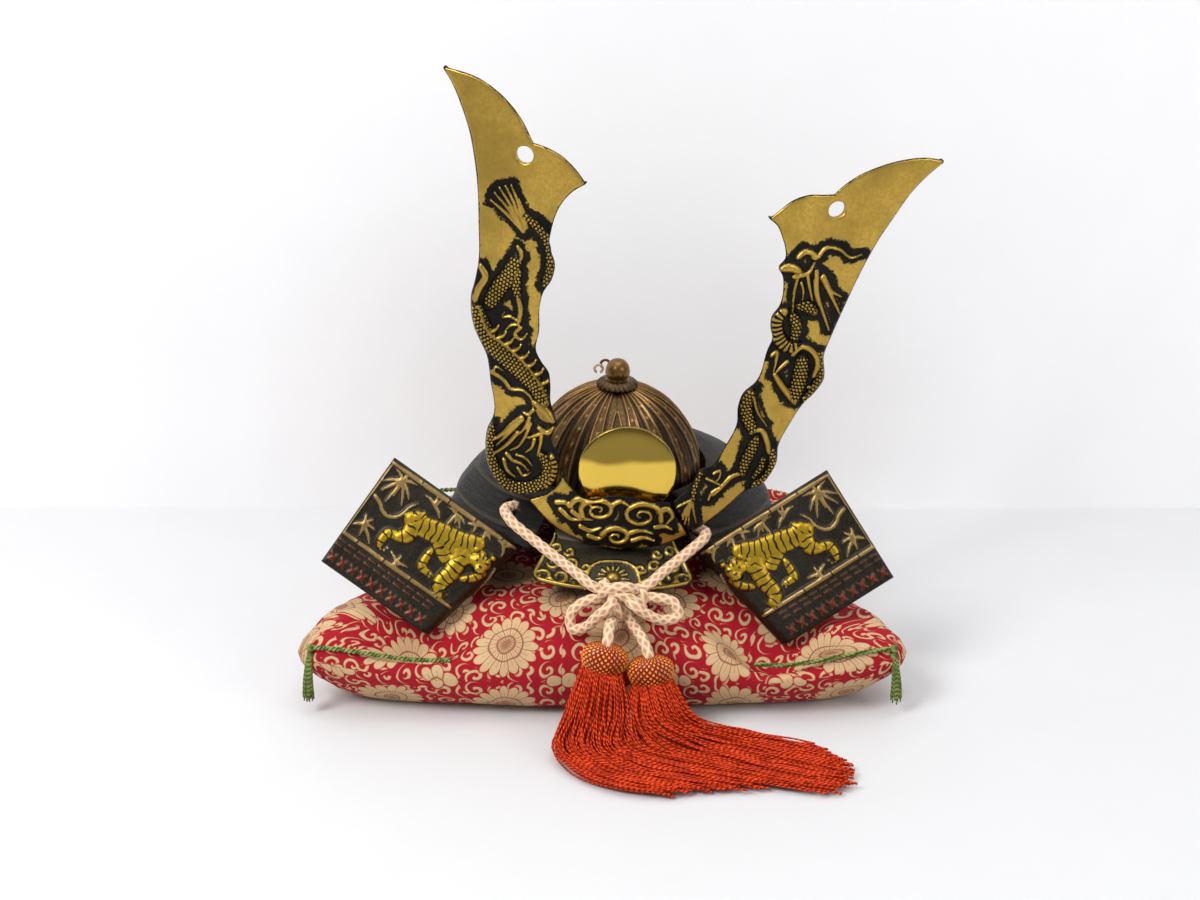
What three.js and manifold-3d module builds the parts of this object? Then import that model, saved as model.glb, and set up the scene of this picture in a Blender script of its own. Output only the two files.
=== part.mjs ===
// A samurai helmet ornament on its brocade cushion: a riveted bowl with a flared neck guard,
// two turned-back plates, a visor, a tall two-horned crest, a chin cord tied in a bow and two tassels.
// Millimetres, +Z up, the front faces -Y, and the table is z = 0.

import * as THREE from "three";
import { mergeVertices } from "three/addons/utils/BufferGeometryUtils.js";
import Module from "manifold-3d";

const wasm = await Module();
wasm.setup();

// Driving dimensions
const CLEARANCE = 0.3;
const EMBED = 0.8;

const CUSHION_WIDTH = 236;
const CUSHION_DEPTH = 153;
const CUSHION_HEIGHT = 40;
const CUSHION_CENTRE_X = -4.5;
const CUSHION_CENTRE_Y = -1.5;
const CUSHION_BACK_SHARE = 0.74;
const CORNER_LIFT = 11;
const STRING_DIAMETER = 2;
const CORNER_TASSEL_LENGTH = 24;

const HELMET_ROLL = THREE.MathUtils.degToRad(1.8);
const HELMET_LIFT = 1;
const BOWL_RADIUS = 35.5;
const BOWL_DOME = 38;
const BOWL_SKIRT = 11;
const BOWL_WALL = 1.8;
const BOWL_HOLE = 3.4;
const BOWL_EQUATOR_DROP = 5;
const BOWL_SKIRT_END = 2;
const BAND_COUNT = 19;
const RIDGE_HEIGHT = 0.8;

const BALL_RADIUS = 5;
const COLLAR_RADIUS = 8.5;
const COLLAR_HEIGHT = 3.2;
const COLLAR_NOTCHES = 12;

const GUARD_FLARE = 35;
const GUARD_DROP = 39;
const GUARD_WALL = 2;
const GUARD_FRONT_ANGLE = 38;
const LAME_STEP = 0.7;

const VISOR_REACH = 23.5;
const VISOR_DROP = 22.5;
const VISOR_WALL = 2;
const VISOR_RISE = 8;
const BOSS_RADIUS = 2.4;

const TURNBACK_LENGTH = 62.5;
const TURNBACK_HEIGHT = 51;
const TURNBACK_TAPER = 10;
const TURNBACK_CURL = 6;
const TURNBACK_WALL = 2.6;
const TURNBACK_RISE = THREE.MathUtils.degToRad(33.6);
const TURNBACK_LEAN = THREE.MathUtils.degToRad(24.6);
const TURNBACK_SHIFT = -2;
const TURNBACK_OUT = 35;
const TURNBACK_STANDOFF = 9.9;
const TURNBACK_RELIEF = 1.6;

const CREST_REACH = 98;
const CREST_HEIGHT = 177;
const CREST_WALL = 2.6;
const CREST_STANDOFF = 9.4;
const CREST_SWEEP = 0.3;
const CREST_SWEEP_START = 25;
const CREST_LEAN = THREE.MathUtils.degToRad(10);
const CREST_HOLE = 3.5;
const CREST_RELIEF = 2;
const DISC_RADIUS = 19.6;
const DISC_WALL = 2.6;
const DISC_RISE = 31.5;

const CORD_DIAMETER = 4.6;
const KNOT_WIDTH = 15;
const KNOT_DEPTH = 9;
const KNOT_HEIGHT = 12.5;
const TASSEL_HEAD_RADIUS = 9;
const TASSEL_HEAD_HEIGHT = 10.5;
const LOCK_WIDTH = 12;
const LOCK_THICKNESS = 4.6;

// Heights and radii that follow from them
const GUARD_SEAT = BOWL_RADIUS + RIDGE_HEIGHT + CLEARANCE;
const CREST_FORWARD = GUARD_SEAT + CREST_STANDOFF;
const TURNBACK_FORWARD = GUARD_SEAT + TURNBACK_STANDOFF;
const GUARD_FOOT_Z = CUSHION_HEIGHT + HELMET_LIFT;
const GUARD_TOP_Z = GUARD_FOOT_Z + GUARD_DROP;
const BOWL_EQUATOR_Z = GUARD_TOP_Z - BOWL_EQUATOR_DROP;
const BOWL_RIM_Z = BOWL_EQUATOR_Z - BOWL_SKIRT;
const BOWL_TOP_Z = BOWL_EQUATOR_Z + BOWL_DOME;
const VISOR_TOP_Z = BOWL_RIM_Z + VISOR_RISE;
const CREST_FOOT_Z = VISOR_TOP_Z - VISOR_DROP * 0.48;
const ROLL_CENTRE_Z = GUARD_TOP_Z - GUARD_DROP / 2;

// Materials
function finish(color, roughness, metalness) {
  return new THREE.MeshStandardMaterial({ color, roughness, metalness });
}
const gold = finish(0xb8913a, 0.3, 1);
const bronze = finish(0x5b4526, 0.45, 1);
const iron = finish(0x33312e, 0.55, 0.8);
const brocade = finish(0xa8243a, 0.8, 0);
const peachCord = finish(0xe8c3a4, 0.85, 0);
const redSilk = finish(0xc8371f, 0.6, 0);
const greenSilk = finish(0x6b7f3a, 0.7, 0);

// Solids: closed meshes kept in the library's form so that they can be joined and cut
function solidOf(positions, triangles) {
  const make = (faces) =>
    new wasm.Manifold(
      new wasm.Mesh({
        numProp: 3,
        vertProperties: new Float32Array(positions.flatMap((p) => [p.x, p.y, p.z])),
        triVerts: new Uint32Array(faces.flat()),
      }),
    );
  const solid = make(triangles);
  return solid.volume() < 0 ? make(triangles.map(([a, b, c]) => [a, c, b])) : solid;
}

function solidOfGeometry(geometry, matrix = new THREE.Matrix4()) {
  const bare = geometry.clone().applyMatrix4(matrix);
  bare.deleteAttribute("normal");
  bare.deleteAttribute("uv");
  const merged = mergeVertices(bare, 1e-4);
  const at = merged.getAttribute("position");
  const positions = Array.from({ length: at.count }, (_, i) => {
    return new THREE.Vector3().fromBufferAttribute(at, i);
  });
  const index = merged.index.array;
  const triangles = [];
  for (let i = 0; i < index.length; i += 3) {
    const [a, b, c] = [index[i], index[i + 1], index[i + 2]];
    if (a !== b && b !== c && c !== a) triangles.push([a, b, c]);
  }
  return solidOf(positions, triangles);
}

// The largest body of a solid that trimming may have left with slivers
function mainBody(solid) {
  return solid.decompose().sort((p, q) => q.volume() - p.volume())[0];
}

function meshOf(name, solid, material) {
  const { vertProperties, triVerts } = solid.getMesh();
  const geometry = new THREE.BufferGeometry();
  geometry.setAttribute("position", new THREE.BufferAttribute(new Float32Array(vertProperties), 3));
  geometry.setIndex(new THREE.BufferAttribute(new Uint32Array(triVerts), 1));
  const mesh = new THREE.Mesh(geometry, material);
  mesh.name = name;
  return mesh;
}

// Closed rings of points, one after another, with both ends capped
function loft(rings) {
  const sides = rings[0].length;
  const positions = rings.flat();
  const triangles = [];
  for (let r = 0; r + 1 < rings.length; r++)
    for (let s = 0; s < sides; s++) {
      const next = (s + 1) % sides;
      const [a, b] = [r * sides + s, r * sides + next];
      triangles.push([a, b, a + sides], [b, b + sides, a + sides]);
    }
  const cap = (ring, start, flip) => {
    const middle = ring.reduce((sum, p) => sum.add(p), new THREE.Vector3()).divideScalar(sides);
    const hub = positions.push(middle) - 1;
    for (let s = 0; s < sides; s++) {
      const [a, b] = [start + s, start + ((s + 1) % sides)];
      triangles.push(flip ? [hub, a, b] : [hub, b, a]);
    }
  };
  cap(rings[0], 0, false);
  cap(rings.at(-1), (rings.length - 1) * sides, true);
  return solidOf(positions, triangles);
}

// A wall of even thickness behind a surface(a, b), with a and b from 0 to 1
function wallOf(surface, rows, columns, thickness, closed = false) {
  const step = 1e-3;
  const across = closed ? columns : columns + 1;
  const outer = [];
  const inner = [];
  for (let i = 0; i <= rows; i++)
    for (let j = 0; j < across; j++) {
      const [a, b] = [i / rows, j / columns];
      const along = surface(a + step, b).sub(surface(a - step, b));
      const around = surface(a, b + step).sub(surface(a, b - step));
      const normal = around.cross(along).normalize();
      const point = surface(a, b);
      outer.push(point);
      inner.push(point.clone().addScaledVector(normal, -thickness));
    }
  const count = outer.length;
  const triangles = [];
  const quad = (a, b, c, d) => triangles.push([a, b, c], [a, c, d]);
  const at = (i, j) => i * across + (j % across);
  for (let i = 0; i < rows; i++)
    for (let j = 0; j < columns; j++) {
      const [a, b, c, d] = [at(i, j), at(i, j + 1), at(i + 1, j + 1), at(i + 1, j)];
      quad(a, b, c, d);
      quad(count + d, count + c, count + b, count + a);
    }
  for (let j = 0; j < columns; j++) {
    quad(at(0, j + 1), at(0, j), count + at(0, j), count + at(0, j + 1));
    quad(at(rows, j), at(rows, j + 1), count + at(rows, j + 1), count + at(rows, j));
  }
  if (!closed)
    for (let i = 0; i < rows; i++) {
      quad(at(i, 0), at(i + 1, 0), count + at(i + 1, 0), count + at(i, 0));
      quad(at(i + 1, columns), at(i, columns), count + at(i, columns), count + at(i + 1, columns));
    }
  return solidOf([...outer, ...inner], triangles);
}

// A raised stroke along points [across, up] on a plate.
// place(across, up, height) gives the plate's face
function stroke(points, width, height, place) {
  const rings = points.map(([across, up, share = 1], i) => {
    const before = points[Math.max(i - 1, 0)];
    const after = points[Math.min(i + 1, points.length - 1)];
    const run = Math.hypot(after[0] - before[0], after[1] - before[1]);
    const side = [-(after[1] - before[1]) / run, (after[0] - before[0]) / run];
    const corner = (half, rise) => place(across + side[0] * half * share, up + side[1] * half * share, rise);
    const [foot, crown] = [width / 2, width / 4];
    const top = height * share;
    return [corner(-foot, -EMBED), corner(-crown, top), corner(crown, top), corner(foot, -EMBED)];
  });
  return loft(rings);
}

function withStrokes(solid, strokes, width, height, place) {
  const raise = (sum, { wide = 1, path }) => sum.add(stroke(path, width * wide, height, place));
  return strokes.reduce(raise, solid);
}

// Straight-line reading of a table's columns at a share of its length
function readTable(table, share, column) {
  const at = THREE.MathUtils.clamp(share, 0, 1) * (table.length - 1);
  const low = Math.min(Math.floor(at), table.length - 2);
  return THREE.MathUtils.lerp(table[low][column], table[low + 1][column], at - low);
}

// A point at an angle from the front, in degrees, positive to +X
function polar(angle, radius, z) {
  const turn = THREE.MathUtils.degToRad(angle);
  return new THREE.Vector3(radius * Math.sin(turn), -radius * Math.cos(turn), z);
}

// Bowl: bands with a raised ridge between them, an opening at the crown and a short straight skirt
function bowlSurface(a, b) {
  const share = THREE.MathUtils.lerp(Math.asin(BOWL_HOLE / BOWL_RADIUS), BOWL_SKIRT_END, a);
  const straight = Math.max(share - Math.PI / 2, 0) / (BOWL_SKIRT_END - Math.PI / 2);
  const turn = Math.min(share, Math.PI / 2);
  const radius = BOWL_RADIUS * Math.sin(turn);
  const z = BOWL_EQUATOR_Z + BOWL_DOME * Math.cos(turn) - BOWL_SKIRT * straight;
  const ridge = (RIDGE_HEIGHT * (1 + Math.cos(2 * Math.PI * b * BAND_COUNT))) / 2;
  return polar(180 - 360 * b, radius + ridge * Math.sin(turn), z);
}

function makeBowl() {
  return meshOf("bowl", wallOf(bowlSurface, 7, BAND_COUNT * 2, BOWL_WALL, true), bronze);
}

// Finial: a ball on a notched collar, with a stem through the bowl's crown
function makeFinial() {
  const collarZ = BOWL_TOP_Z + CLEARANCE;
  const sides = COLLAR_NOTCHES * 2;
  const ring = (radius, z, notch = 0) =>
    Array.from({ length: sides }, (_, i) => polar((i * 360) / sides, radius * (1 - (i % 2 ? notch : 0)), z));
  const stem = BOWL_HOLE - CLEARANCE * 2;
  const ballZ = collarZ + COLLAR_HEIGHT + BALL_RADIUS * 0.7;
  const rings = [
    ring(stem, BOWL_TOP_Z - BOWL_WALL),
    ring(stem, collarZ),
    ring(COLLAR_RADIUS * 0.96, collarZ, 0.12),
    ring(COLLAR_RADIUS, collarZ + COLLAR_HEIGHT * 0.4, 0.12),
    ring(COLLAR_RADIUS * 0.62, collarZ + COLLAR_HEIGHT),
  ];
  for (let k = -1; k <= 3; k++) {
    const tilt = (k * Math.PI) / 7.5;
    rings.push(ring(BALL_RADIUS * Math.cos(tilt), ballZ + BALL_RADIUS * Math.sin(tilt)));
  }
  return meshOf("finial", loft(rings), bronze);
}

// Visor: a band against the bowl, then a peak that flares out over the brow. Shares of its reach and drop
const VISOR_PROFILE = [
  { out: 0, down: 0, half: 35 },
  { out: 0.14, down: 0.43, half: 35 },
  { out: 0.27, down: 0.56, half: 34 },
  { out: 0.61, down: 0.75, half: 33.5 },
  { out: 0.9, down: 0.93, half: 32.5 },
  { out: 1, down: 1, half: 28.5 },
];

function visorSurface(a, b) {
  const radius = GUARD_SEAT + VISOR_WALL + VISOR_REACH * readTable(VISOR_PROFILE, a, "out");
  const z = VISOR_TOP_Z - VISOR_DROP * readTable(VISOR_PROFILE, a, "down");
  return polar((1 - 2 * b) * readTable(VISOR_PROFILE, a, "half"), radius, z);
}

function makeVisor() {
  const wall = wallOf(visorSurface, VISOR_PROFILE.length - 1, 12, VISOR_WALL);
  const seat = visorSurface(0.84, 0.5);
  const boss = new THREE.SphereGeometry(BOSS_RADIUS, 10, 8);
  const placed = solidOfGeometry(boss, new THREE.Matrix4().makeTranslation(seat.x, seat.y, seat.z));
  return meshOf("visor", wall.add(placed), iron);
}

// Neck guard: overlapping lames as one flared wall.
// Shares of its flare and drop, and of its radius at the front
const GUARD_PROFILE = [
  { out: 0, down: 0, front: 1 },
  { out: 0.26, down: 0.02, front: 0.9 },
  { out: 0.52, down: 0.12, front: 0.8 },
  { out: 0.69, down: 0.27, front: 0.73 },
  { out: 0.8, down: 0.46, front: 0.81 },
  { out: 0.9, down: 0.69, front: 0.94 },
  { out: 1, down: 1, front: 1.08 },
];
const LAMES = 3;

function guardSurface(a, b) {
  const angle = THREE.MathUtils.lerp(360 - GUARD_FRONT_ANGLE, GUARD_FRONT_ANGLE, b);
  const fromFront = Math.min(angle, 360 - angle);
  const toFront = Math.max(90 - fromFront, 0) / (90 - GUARD_FRONT_ANGLE);
  const front = THREE.MathUtils.lerp(1, readTable(GUARD_PROFILE, a, "front"), toFront);
  const lame = LAME_STEP * ((a * LAMES) % 1) * (a < 1 ? 1 : 0);
  const radius = (GUARD_SEAT + GUARD_WALL + GUARD_FLARE * readTable(GUARD_PROFILE, a, "out")) * front;
  const z = GUARD_TOP_Z - GUARD_DROP * readTable(GUARD_PROFILE, a, "down");
  return polar(angle, radius + lame, z);
}

// Where the cord passes through the neck guard
const CORD_HOLES = {
  left: { down: 0.47, around: 1 - 17 / (360 - 2 * GUARD_FRONT_ANGLE), side: -1 },
  right: { down: 0.58, around: 6 / (360 - 2 * GUARD_FRONT_ANGLE), side: 1 },
};

function guardHole({ down, around }) {
  const spot = guardSurface(down, 1 - around);
  return { spot, out: new THREE.Vector3(spot.x, spot.y, 0).normalize() };
}

function rodBetween(from, to, radius, sides) {
  const path = new THREE.LineCurve3(from, to);
  const ring = new THREE.Shape().absarc(0, 0, radius, 0, 2 * Math.PI);
  const way = { steps: 1, extrudePath: path, curveSegments: sides / 2, bevelEnabled: false };
  const rod = new THREE.ExtrudeGeometry(ring, way);
  return solidOfGeometry(rod);
}

function makeGuard(seats) {
  let wall = wallOf(guardSurface, GUARD_PROFILE.length - 1, 24, GUARD_WALL);
  for (const hole of Object.values(CORD_HOLES)) {
    const { spot, out } = guardHole(hole);
    const reach = GUARD_WALL * 4;
    const [start, end] = [-reach, reach].map((far) => spot.clone().addScaledVector(out, far));
    wall = wall.subtract(rodBetween(start, end, CORD_DIAMETER / 2 + CLEARANCE * 3, 12));
  }
  for (const seat of seats) wall = wall.subtract(seat);
  return meshOf("neck_guard", mainBody(wall), iron);
}

// Turned-back plate, in its own frame: x runs out along the top border, z up, and the face looks to -Y.
// Its inner end curls back towards the neck guard along a slanted fold.
function turnbackPoint(across, up, height) {
  const fold = (-up / TURNBACK_HEIGHT) * TURNBACK_TAPER + TURNBACK_CURL;
  const past = Math.max(fold - across, 0) / TURNBACK_CURL;
  const radius = TURNBACK_CURL + height;
  if (past === 0) return new THREE.Vector3(across, -height, up);
  return new THREE.Vector3(fold - radius * Math.sin(past), TURNBACK_CURL - radius * Math.cos(past), up);
}

function turnbackSurface(a, b) {
  const up = -TURNBACK_HEIGHT * b;
  const inner = b * TURNBACK_TAPER + TURNBACK_CURL * (1 - 1.45);
  return turnbackPoint(THREE.MathUtils.lerp(inner, TURNBACK_LENGTH, a * (0.4 + 0.6 * a)), up, 0);
}

// Raised work on the plate: shares of its length and height, from the inner top corner
const BAMBOO_ROWS = [
  { up: -0.06, from: 0.06, to: 0.98 },
  { up: -0.73, from: 0.2, to: 0.98 },
];
const TIGER = [
  {
    wide: 5.5,
    path: [[0.66, -0.34, 0.8], [0.55, -0.27, 1], [0.4, -0.28, 0.9], [0.28, -0.25, 1], [0.22, -0.26, 0.7]],
  },
  { wide: 4.2, path: [[0.24, -0.22, 0.8], [0.18, -0.3, 1], [0.13, -0.36, 0.7]] },
  { wide: 2.4, path: [[0.62, -0.36, 1], [0.7, -0.47, 0.8], [0.68, -0.58, 0.6], [0.74, -0.64, 0.7]] },
  { wide: 2.2, path: [[0.54, -0.38, 1], [0.5, -0.5, 0.8], [0.43, -0.57, 0.7]] },
  { wide: 2.2, path: [[0.3, -0.34, 1], [0.34, -0.5, 0.8], [0.27, -0.66, 0.7]] },
  { wide: 2, path: [[0.24, -0.38, 1], [0.2, -0.5, 0.8], [0.25, -0.58, 0.6]] },
  { wide: 1.3, path: [[0.66, -0.3, 1], [0.76, -0.24, 1], [0.84, -0.42, 0.9], [0.94, -0.36, 0.6]] },
];
const LEAVES = [
  { x: 0.86, up: -0.19, count: 5, reach: 0.1, from: -160, step: 50 },
  { x: 0.46, up: -0.13, count: 3, reach: 0.07, from: -150, step: 40 },
  { x: 0.9, up: -0.6, count: 2, reach: 0.07, from: 40, step: 50 },
  { x: 0.58, up: -0.66, count: 2, reach: 0.06, from: 40, step: 50 },
];
const LACE_CROSSES = 7;

function turnbackStrokes() {
  const [l, h] = [TURNBACK_LENGTH, TURNBACK_HEIGHT];
  const toPlate = ([x, up, share]) => [x * l, up * h, share];
  const strokes = TIGER.map(({ wide, path }) => ({ wide, path: path.map(toPlate) }));
  for (const { up, from, to } of BAMBOO_ROWS) {
    strokes.push({ wide: 1.3, path: [toPlate([from, up, 1]), toPlate([to, up, 1])] });
  }
  for (const { x, up, count, reach, from, step } of LEAVES)
    for (let i = 0; i < count; i++) {
      const turn = THREE.MathUtils.degToRad(from + step * i);
      const tip = [x * l + reach * l * Math.cos(turn), up * h + reach * l * Math.sin(turn), 0.5];
      strokes.push({ wide: 0.9, path: [toPlate([x, up, 1]), tip] });
    }
  for (let i = 0; i < LACE_CROSSES; i++) {
    const x = 0.28 + (0.66 * i) / (LACE_CROSSES - 1);
    strokes.push({ wide: 0.8, path: [toPlate([x - 0.02, -0.88, 0.7]), toPlate([x + 0.02, -0.95, 0.7])] });
  }
  return strokes;
}

const makeTurnbackWall = () => wallOf(turnbackSurface, 10, 4, TURNBACK_WALL);

function makeTurnbackSolid() {
  return withStrokes(makeTurnbackWall(), turnbackStrokes(), 2, TURNBACK_RELIEF, turnbackPoint);
}

function turnbackMatrix(side) {
  const group = new THREE.Group();
  group.position.set(side * TURNBACK_OUT + TURNBACK_SHIFT, -TURNBACK_FORWARD, ROLL_CENTRE_Z + CLEARANCE);
  group.rotation.set(-TURNBACK_LEAN, -side * TURNBACK_RISE, 0);
  group.scale.x = side;
  group.updateMatrix();
  return group.matrix;
}

// The room that a turned-back plate takes, used to trim the neck guard to its back
function turnbackSeat(side) {
  const room = new THREE.BoxGeometry(TURNBACK_LENGTH * 1.4, TURNBACK_HEIGHT, TURNBACK_HEIGHT * 1.4);
  const back = TURNBACK_WALL + CLEARANCE;
  room.translate(TURNBACK_LENGTH * 0.5, back - TURNBACK_HEIGHT / 2, CLEARANCE - TURNBACK_HEIGHT * 0.7);
  const matrix = turnbackMatrix(side);
  const plate = makeTurnbackWall().transform(matrix.elements);
  const moves = [[0, 1, 0], [1, 0, 0], [-1, 0, 0], [0, 0, 1]].map((way) => way.map((d) => d * CLEARANCE));
  return moves.reduce((sum, move) => sum.add(plate.translate(move)), solidOfGeometry(room, matrix));
}

// Crest, in its own frame: x across, z up from the foot, y the sweep back of its curved face
function crestSweep(across) {
  return CREST_SWEEP * (Math.hypot(across, CREST_SWEEP_START) - CREST_SWEEP_START);
}
const crestPlace = (across, up, height) => new THREE.Vector3(across, crestSweep(across) - height, up);

function sweptSlab(thickness, start) {
  const reach = CREST_REACH * 1.05;
  const steps = 20;
  const front = Array.from({ length: steps + 1 }, (_, i) => {
    const x = THREE.MathUtils.lerp(-reach, reach, i / steps);
    return new THREE.Vector2(x, crestSweep(x) + start);
  });
  const back = front.map((p) => new THREE.Vector2(p.x, p.y + thickness)).reverse();
  const plan = new THREE.Shape([...front, ...back]);
  const slab = new THREE.ExtrudeGeometry(plan, { depth: CREST_HEIGHT * 1.1, bevelEnabled: false });
  return solidOfGeometry(slab, new THREE.Matrix4().makeTranslation(0, 0, -1));
}

// An outline of [x, z] corners as a deep block from front to back
function blockOf(outline, holes = []) {
  const shape = new THREE.Shape(outline.map(([x, z]) => new THREE.Vector2(x, z)));
  for (const { x, z, radius } of holes) {
    shape.holes.push(new THREE.Path().absarc(x, z, radius, 0, 2 * Math.PI));
  }
  const depth = CREST_REACH;
  const block = new THREE.ExtrudeGeometry(shape, { depth, bevelEnabled: false, curveSegments: 8 });
  const upright = new THREE.Matrix4().makeRotationX(Math.PI / 2).setPosition(0, depth / 2, 0);
  return solidOfGeometry(block, upright);
}

// The blade of a horn, the same on both sides: shares of the crest's reach and height, from the shaft's
// outer side over the tip to its inner side
const BLADE = [
  [0.73, 0.59], [0.76, 0.69], [0.79, 0.78], [0.84, 0.88], [0.9, 0.94], [1, 1],
  [0.93, 0.998], [0.84, 0.985], [0.745, 0.965], [0.67, 0.935], [0.587, 0.886],
  [0.52, 0.884], [0.45, 0.87], [0.395, 0.85], [0.36, 0.822],
  [0.41, 0.79], [0.445, 0.75], [0.468, 0.685],
];
// Each shaft with its dragon's bulges: down the inner side to the foot, then up the outer side
const SHAFTS = {
  left: [
    [0.435, 0.64], [0.435, 0.61], [0.465, 0.56], [0.46, 0.51], [0.435, 0.42], [0.38, 0.37], [0.365, 0.325],
    [0.33, 0.28], [0.33, 0.21], [0.29, 0.19], [0.265, 0.155], [0.29, 0.11], [0.34, 0.085], [0.4, 0.078],
    [0.48, 0.092], [0.54, 0.12], [0.58, 0.155], [0.59, 0.2], [0.575, 0.25], [0.61, 0.325], [0.645, 0.385],
    [0.67, 0.405], [0.71, 0.45], [0.74, 0.5], [0.74, 0.535],
  ],
  right: [
    [0.43, 0.71], [0.46, 0.68], [0.465, 0.63], [0.445, 0.58], [0.465, 0.535], [0.455, 0.48], [0.44, 0.44],
    [0.4, 0.42], [0.385, 0.39], [0.395, 0.32], [0.365, 0.27], [0.33, 0.23], [0.29, 0.22], [0.255, 0.19],
    [0.232, 0.155], [0.34, 0.068], [0.42, 0.118], [0.49, 0.16], [0.505, 0.18], [0.55, 0.19], [0.58, 0.22],
    [0.595, 0.255], [0.587, 0.29], [0.6, 0.32], [0.63, 0.365], [0.65, 0.39], [0.7, 0.43], [0.71, 0.46],
    [0.7, 0.51], [0.71, 0.56],
  ],
};
const HOLE_PLACE = { x: 0.622, z: 0.856 };

// Dragons: strokes of [share of reach, share of height, share of width]
const DRAGON_LEFT = [
  {
    wide: 3.4,
    path: [
      [0.68, 0.47, 0.5], [0.64, 0.43, 0.8], [0.57, 0.4, 1],
      [0.5, 0.37, 1], [0.43, 0.335, 1], [0.39, 0.3, 0.8],
    ],
  },
  {
    wide: 3.2,
    path: [
      [0.56, 0.225, 0.7], [0.56, 0.17, 1], [0.52, 0.13, 1], [0.46, 0.11, 1],
      [0.39, 0.108, 1], [0.33, 0.14, 1], [0.32, 0.18, 0.9], [0.36, 0.21, 0.6],
    ],
  },
  { wide: 3, path: [[0.43, 0.29, 0.7], [0.39, 0.275, 1], [0.35, 0.26, 0.6]] },
  { wide: 2, path: [[0.52, 0.71, 0.6], [0.48, 0.68, 1], [0.465, 0.64, 1], [0.47, 0.59, 0.7]] },
  { wide: 2.6, path: [[0.59, 0.63, 1], [0.62, 0.59, 0.8], [0.66, 0.53, 0.7], [0.67, 0.49, 0.5]] },
  { wide: 1.8, path: [[0.57, 0.63, 1], [0.545, 0.58, 0.8], [0.545, 0.53, 0.6]] },
  { wide: 1.3, path: [[0.545, 0.53, 1], [0.57, 0.49, 0.6]] },
  { wide: 1.3, path: [[0.545, 0.53, 1], [0.53, 0.485, 0.6]] },
  { wide: 1.6, path: [[0.7, 0.5, 1], [0.71, 0.54, 0.9], [0.7, 0.59, 0.5]] },
  { wide: 1.6, path: [[0.6, 0.36, 0.8], [0.54, 0.34, 1], [0.47, 0.31, 0.6]] },
  { wide: 1.3, path: [[0.42, 0.26, 1], [0.48, 0.25, 0.9], [0.55, 0.22, 0.5]] },
  { wide: 1.3, path: [[0.4, 0.25, 1], [0.44, 0.21, 0.9], [0.5, 0.175, 0.5]] },
];
const FAN_LEFT = { x: 0.58, z: 0.69, reach: 0.12, from: 108, step: 14, count: 5 };
const DRAGON_RIGHT = [
  { wide: 3.2, path: [[0.5, 0.725, 0.6], [0.54, 0.735, 1], [0.6, 0.72, 0.8], [0.62, 0.69, 0.6]] },
  { wide: 1.3, path: [[0.59, 0.745, 1], [0.66, 0.757, 0.9], [0.74, 0.75, 0.4]] },
  { wide: 1.3, path: [[0.6, 0.68, 1], [0.655, 0.64, 0.9], [0.68, 0.58, 0.5]] },
  { wide: 1.3, path: [[0.63, 0.69, 1], [0.68, 0.66, 0.9], [0.7, 0.62, 0.5]] },
  { wide: 1.3, path: [[0.52, 0.7, 1], [0.51, 0.66, 0.8], [0.53, 0.62, 0.5]] },
  {
    wide: 2.6,
    path: [[0.49, 0.6, 0.7], [0.53, 0.61, 1], [0.565, 0.585, 1], [0.56, 0.545, 1], [0.53, 0.52, 0.6]],
  },
  {
    wide: 2.8,
    path: [[0.57, 0.53, 0.6], [0.63, 0.525, 1], [0.665, 0.49, 1], [0.66, 0.44, 1], [0.61, 0.41, 0.7]],
  },
  { wide: 3.6, path: [[0.6, 0.5, 0.7], [0.6, 0.475, 1], [0.595, 0.45, 0.7]] },
  { wide: 1.8, path: [[0.53, 0.475, 1], [0.56, 0.44, 0.8], [0.6, 0.41, 0.6]] },
  { wide: 2.6, path: [[0.49, 0.42, 0.6], [0.45, 0.39, 1], [0.44, 0.34, 1], [0.46, 0.3, 0.9]] },
  { wide: 2.6, path: [[0.47, 0.305, 0.7], [0.525, 0.295, 1], [0.555, 0.26, 1], [0.54, 0.215, 0.8]] },
  { wide: 1.8, path: [[0.47, 0.215, 1], [0.41, 0.195, 0.9], [0.36, 0.165, 0.5]] },
  { wide: 1.8, path: [[0.37, 0.2, 1], [0.33, 0.165, 1], [0.305, 0.125, 0.7]] },
];
const FAN_RIGHT = { x: 0.56, z: 0.62, reach: 0.05, from: 110, step: 22, count: 3 };

function hornParts(side) {
  const name = side < 0 ? "left" : "right";
  const toCrest = ([x, z, share]) => [side * x * CREST_REACH, z * CREST_HEIGHT, share];
  const outline = [...BLADE, ...SHAFTS[name]].map(toCrest);
  if (side < 0) outline.reverse();
  const [x, z] = toCrest([HOLE_PLACE.x, HOLE_PLACE.z]);
  const dragon = side < 0 ? DRAGON_LEFT : DRAGON_RIGHT;
  const fan = side < 0 ? FAN_LEFT : FAN_RIGHT;
  const strokes = dragon.map(({ wide, path }) => ({ wide, path: path.map(toCrest) }));
  for (let i = 0; i < fan.count; i++) {
    const turn = THREE.MathUtils.degToRad(fan.from - fan.step * i);
    const root = toCrest([fan.x, fan.z, 0.6]);
    const far = fan.reach * CREST_HEIGHT;
    const tip = [root[0] + side * far * Math.cos(turn), root[1] + far * Math.sin(turn), 1];
    strokes.push({ wide: 1.2, path: [root, tip] });
  }
  return { outline, holes: [{ x, z, radius: CREST_HOLE }], strokes };
}

function makeHorn(side, slab) {
  const { outline, holes, strokes } = hornParts(side);
  const plate = slab.intersect(blockOf(outline, holes));
  return withStrokes(plate, strokes, 2, CREST_RELIEF, crestPlace);
}

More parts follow.
